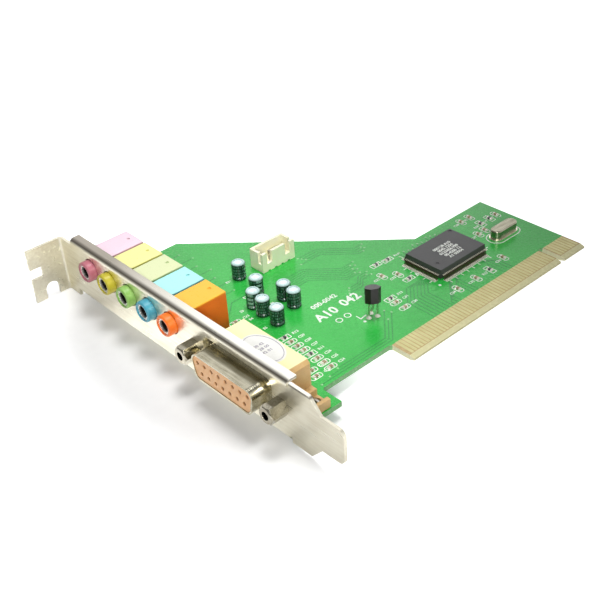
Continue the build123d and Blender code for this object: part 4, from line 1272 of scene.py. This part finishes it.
@dataclass
class Studio:
    """Floor, light and the photograph's camera."""

    card: Card
    azimuth: float = -0.700084594
    elevation: float = 0.6007062
    roll: float = -0.07097192
    aim_x: float = 60.0
    aim_y: float = 50.0
    offset_x: float = 9.8724
    offset_y: float = 12.24375
    distance: float = 302.09876
    focal_pixels: float = 1006.152
    picture_pixels: float = 600.0
    floor_half: float = 2.5
    ambient: float = 0.17
    dim_side: float = 0.35
    dim_roof: float = 0.2
    mirror_painted_light: float = 0.84
    mirror_close: tuple[float, float] = (0.36, 0.58)
    mirror_fade: tuple[float, float] = (0.62, 1.25)
    shade_fade: tuple[float, float] = (0.46, 1.02)
    glow: float = 0.95
    shade_centre: tuple[float, float] = (3.0, 48.0)
    shade_reach: tuple[float, float] = (40.0, 78.0)

    def axes(self) -> Points:
        """The camera's right, up and back directions, one in each row."""
        a, e, r = self.azimuth, self.elevation, self.roll
        right = np.array([math.cos(a), math.sin(a), 0.0])
        back = np.array([math.sin(a) * math.cos(e), -math.cos(a) * math.cos(e), math.sin(e)])
        up = np.cross(back, right)
        return np.array([
            math.cos(r) * right + math.sin(r) * up,
            math.cos(r) * up - math.sin(r) * right,
            back,
        ])

    def camera(self) -> None:
        """Place the camera where the photograph was taken from."""
        axes = self.axes()
        aim = np.array([self.aim_x, self.aim_y, 0.0])
        stand = aim + np.array([-self.offset_x, -self.offset_y, self.distance]) @ axes
        place = np.eye(4)
        place[:3, :3] = axes.T
        place[:3, 3] = self.card.metres(stand)
        data = bpy.data.cameras.new("photo_camera")
        data.sensor_width = 36.0
        data.lens = data.sensor_width * self.focal_pixels / self.picture_pixels
        data.clip_start = 0.01
        made = bpy.data.objects.new("photo_camera", data)
        bpy.context.collection.objects.link(made)
        made.matrix_world = place.T.tolist()
        bpy.context.scene.camera = made

    def floor(self) -> None:
        """A wide pale floor just under the card; the camera sees it white apart from the shadow, and a
        painted glow round the card sets how far the shadow shows.
        """
        low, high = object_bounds()
        half = self.floor_half
        corners = np.array([[-half, -half], [half, -half], [half, half], [-half, half]])
        points = np.column_stack([corners, np.full(4, low[2] - 0.0003)])
        mesh = bpy.data.meshes.new("studio_floor")
        mesh.from_pydata(points.tolist(), [], [[0, 1, 2, 3]])
        made = bpy.data.objects.new("studio_floor", mesh)
        bpy.context.collection.objects.link(made)
        # Pale background paper: matt, with a faint fibre.
        paper = bpy.data.materials.new("pale_background_paper")
        paper.use_nodes = True
        tree = paper.node_tree
        tree.nodes.clear()
        place = node(tree, "TexCoord").outputs["Object"]
        tone = mix(tree, noise(tree, place, per_mm(3.0), 2.0), linear("#E0E0E0"), linear("#E5E5E5"))
        plain = node(tree, "BsdfDiffuse", {"Color": tone}).outputs[0]
        # away from the bracket the gridded lamp fades, and the floor glows to stay white there; this painted
        # light fades in over an ellipse round the card and so sets how far the shadow reaches
        centre = self.card.metres(np.array([*self.shade_centre, 0.0]))
        centred = node(tree, "VectorMath", {0: place, 1: tuple(centre)}, operation="SUBTRACT").outputs[0]
        scale = (1 / (self.shade_reach[0] * MM), 1 / (self.shade_reach[1] * MM), 0.0)
        away = node(tree, "Mapping", {"Vector": centred, "Scale": scale}).outputs["Vector"]
        far = node(tree, "VectorMath", {0: away}, operation="LENGTH").outputs["Value"]
        fade = ramp(tree, far, *self.shade_fade, 0.0, self.glow, "SMOOTHSTEP")
        # in mirrors the glow starts further out, and the floor close to the bracket is lifted, a painted
        # light that brightens the bracket's reflection of it
        late = ramp(tree, far, *self.mirror_fade, 0.0, self.glow, "SMOOTHSTEP")
        close = ramp(tree, far, *self.mirror_close, self.mirror_painted_light, 0.0)
        mirror = sums(tree, "MAXIMUM", late, close)
        rays = node(tree, "LightPath").outputs
        lift = node(tree, "Mix", {0: rays["Is Glossy Ray"], 2: fade, 3: mirror}).outputs[0]
        glow = node(tree, "Emission", {"Color": (1.0, 1.0, 1.0, 1.0), "Strength": lift}).outputs[0]
        lifted = node(tree, "AddShader", {0: plain, 1: glow}).outputs[0]
        seen = sums(tree, "MAXIMUM", rays["Is Camera Ray"], rays["Is Glossy Ray"])
        shown = node(tree, "MixShader", {0: seen, 1: plain, 2: lifted}).outputs[0]
        node(tree, "OutputMaterial", {"Surface": shown})
        mesh.materials.append(paper)
        made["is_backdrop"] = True

    def lamp(
        self, name: str, stand: tuple[float, float, float], aim: tuple[float, float, float],
        size: float, level: float, spread: float = 180.0,
    ) -> None:
        """A square soft lamp that looks at a spot on the card.

        Args:
            name: the lamp's name.
            stand: where it stands, in card millimetres.
            aim: the spot that it looks at, in card millimetres.
            size: its side in millimetres.
            level: what it adds to a white surface that faces it at that spot.
            spread: the angle in degrees that its grid leaves open.
        """
        data = bpy.data.lights.new(name, "AREA")
        data.size = size * MM
        data.spread = math.radians(spread)
        back = np.array(stand) - np.array(aim)
        away = float(np.linalg.norm(back))
        back = back / away
        half = math.radians(spread) / 2
        # a grid gathers the light, so less power gives the same level
        gathered = 1.0 - half / math.tan(half) if spread < 180.0 else 1.0
        data.energy = level * gathered * (math.pi * away * MM) ** 2
        made = bpy.data.objects.new(name, data)
        bpy.context.collection.objects.link(made)
        right = np.cross([0.0, 1.0, 0.0], back)
        right = right / np.linalg.norm(right)
        place = np.eye(4)
        place[:3, :3] = np.array([right, np.cross(back, right), back]).T
        place[:3, 3] = self.card.metres(np.array(stand))
        made.matrix_world = place.T.tolist()

    def world(self) -> None:
        """A white room: white to the eye, softer as a light, and in mirrors dim on one side and overhead."""
        world = bpy.data.worlds.new("white_room")
        bpy.context.scene.world = world
        world.use_nodes = True
        tree = world.node_tree
        tree.nodes.clear()
        white = (1.0, 1.0, 1.0, 1.0)
        soft = node(tree, "Background", {"Color": white, "Strength": self.ambient}).outputs[0]
        full = node(tree, "Background", {"Color": white, "Strength": 1.0}).outputs[0]
        way = axes_of(tree, node(tree, "TexCoord").outputs["Generated"])
        wall = ramp(tree, way["X"], -0.45, 0.25, self.dim_side, 1.0)
        roof = ramp(tree, way["Z"], 0.66, 0.82, 1.0, self.dim_roof)
        room = sums(tree, "MULTIPLY", wall, roof)
        mirrored = node(tree, "Background", {"Color": white, "Strength": room}).outputs[0]
        rays = node(tree, "LightPath").outputs
        mirror = sums(tree, "MAXIMUM", rays["Is Glossy Ray"], rays["Is Transmission Ray"])
        bounced = node(tree, "MixShader", {0: mirror, 1: soft, 2: mirrored}).outputs[0]
        shown = node(tree, "MixShader", {0: rays["Is Camera Ray"], 1: bounced, 2: full}).outputs[0]
        node(tree, "OutputWorld", {"Surface": shown})

    def build(self) -> None:
        """Set up camera, floor, lamps and world."""
        self.camera()
        self.floor()
        self.world()
        self.lamp("key_softbox", (58.0, 52.0, 300.0), (10.0, 47.0, 0.0), 110.0, 1.3, 40.0)
        self.lamp("front_fill", (-235.0, -320.0, 260.0), (20.0, 40.0, 0.0), 180.0, 0.95, 42.0)
        self.lamp("back_panel", (480.0, 560.0, 260.0), (50.0, 40.0, 0.0), 450.0, 0.08)
        bpy.context.scene.view_settings.view_transform = "Standard"


def main() -> None:
    """Build and dress everything in order."""
    logging.basicConfig(level=logging.INFO, format="%(name)s %(message)s")
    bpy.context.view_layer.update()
    card = Card()
    connectors = Connectors(card)
    copper = Copper(card)
    connectors.dress()
    Capacitors().dress()
    copper.dress()
    connectors.build()
    copper.build()
    Solder(card).build()
    Silkscreen(card).build()
    Studio(card).build()


if __name__ == "__main__":
    main()
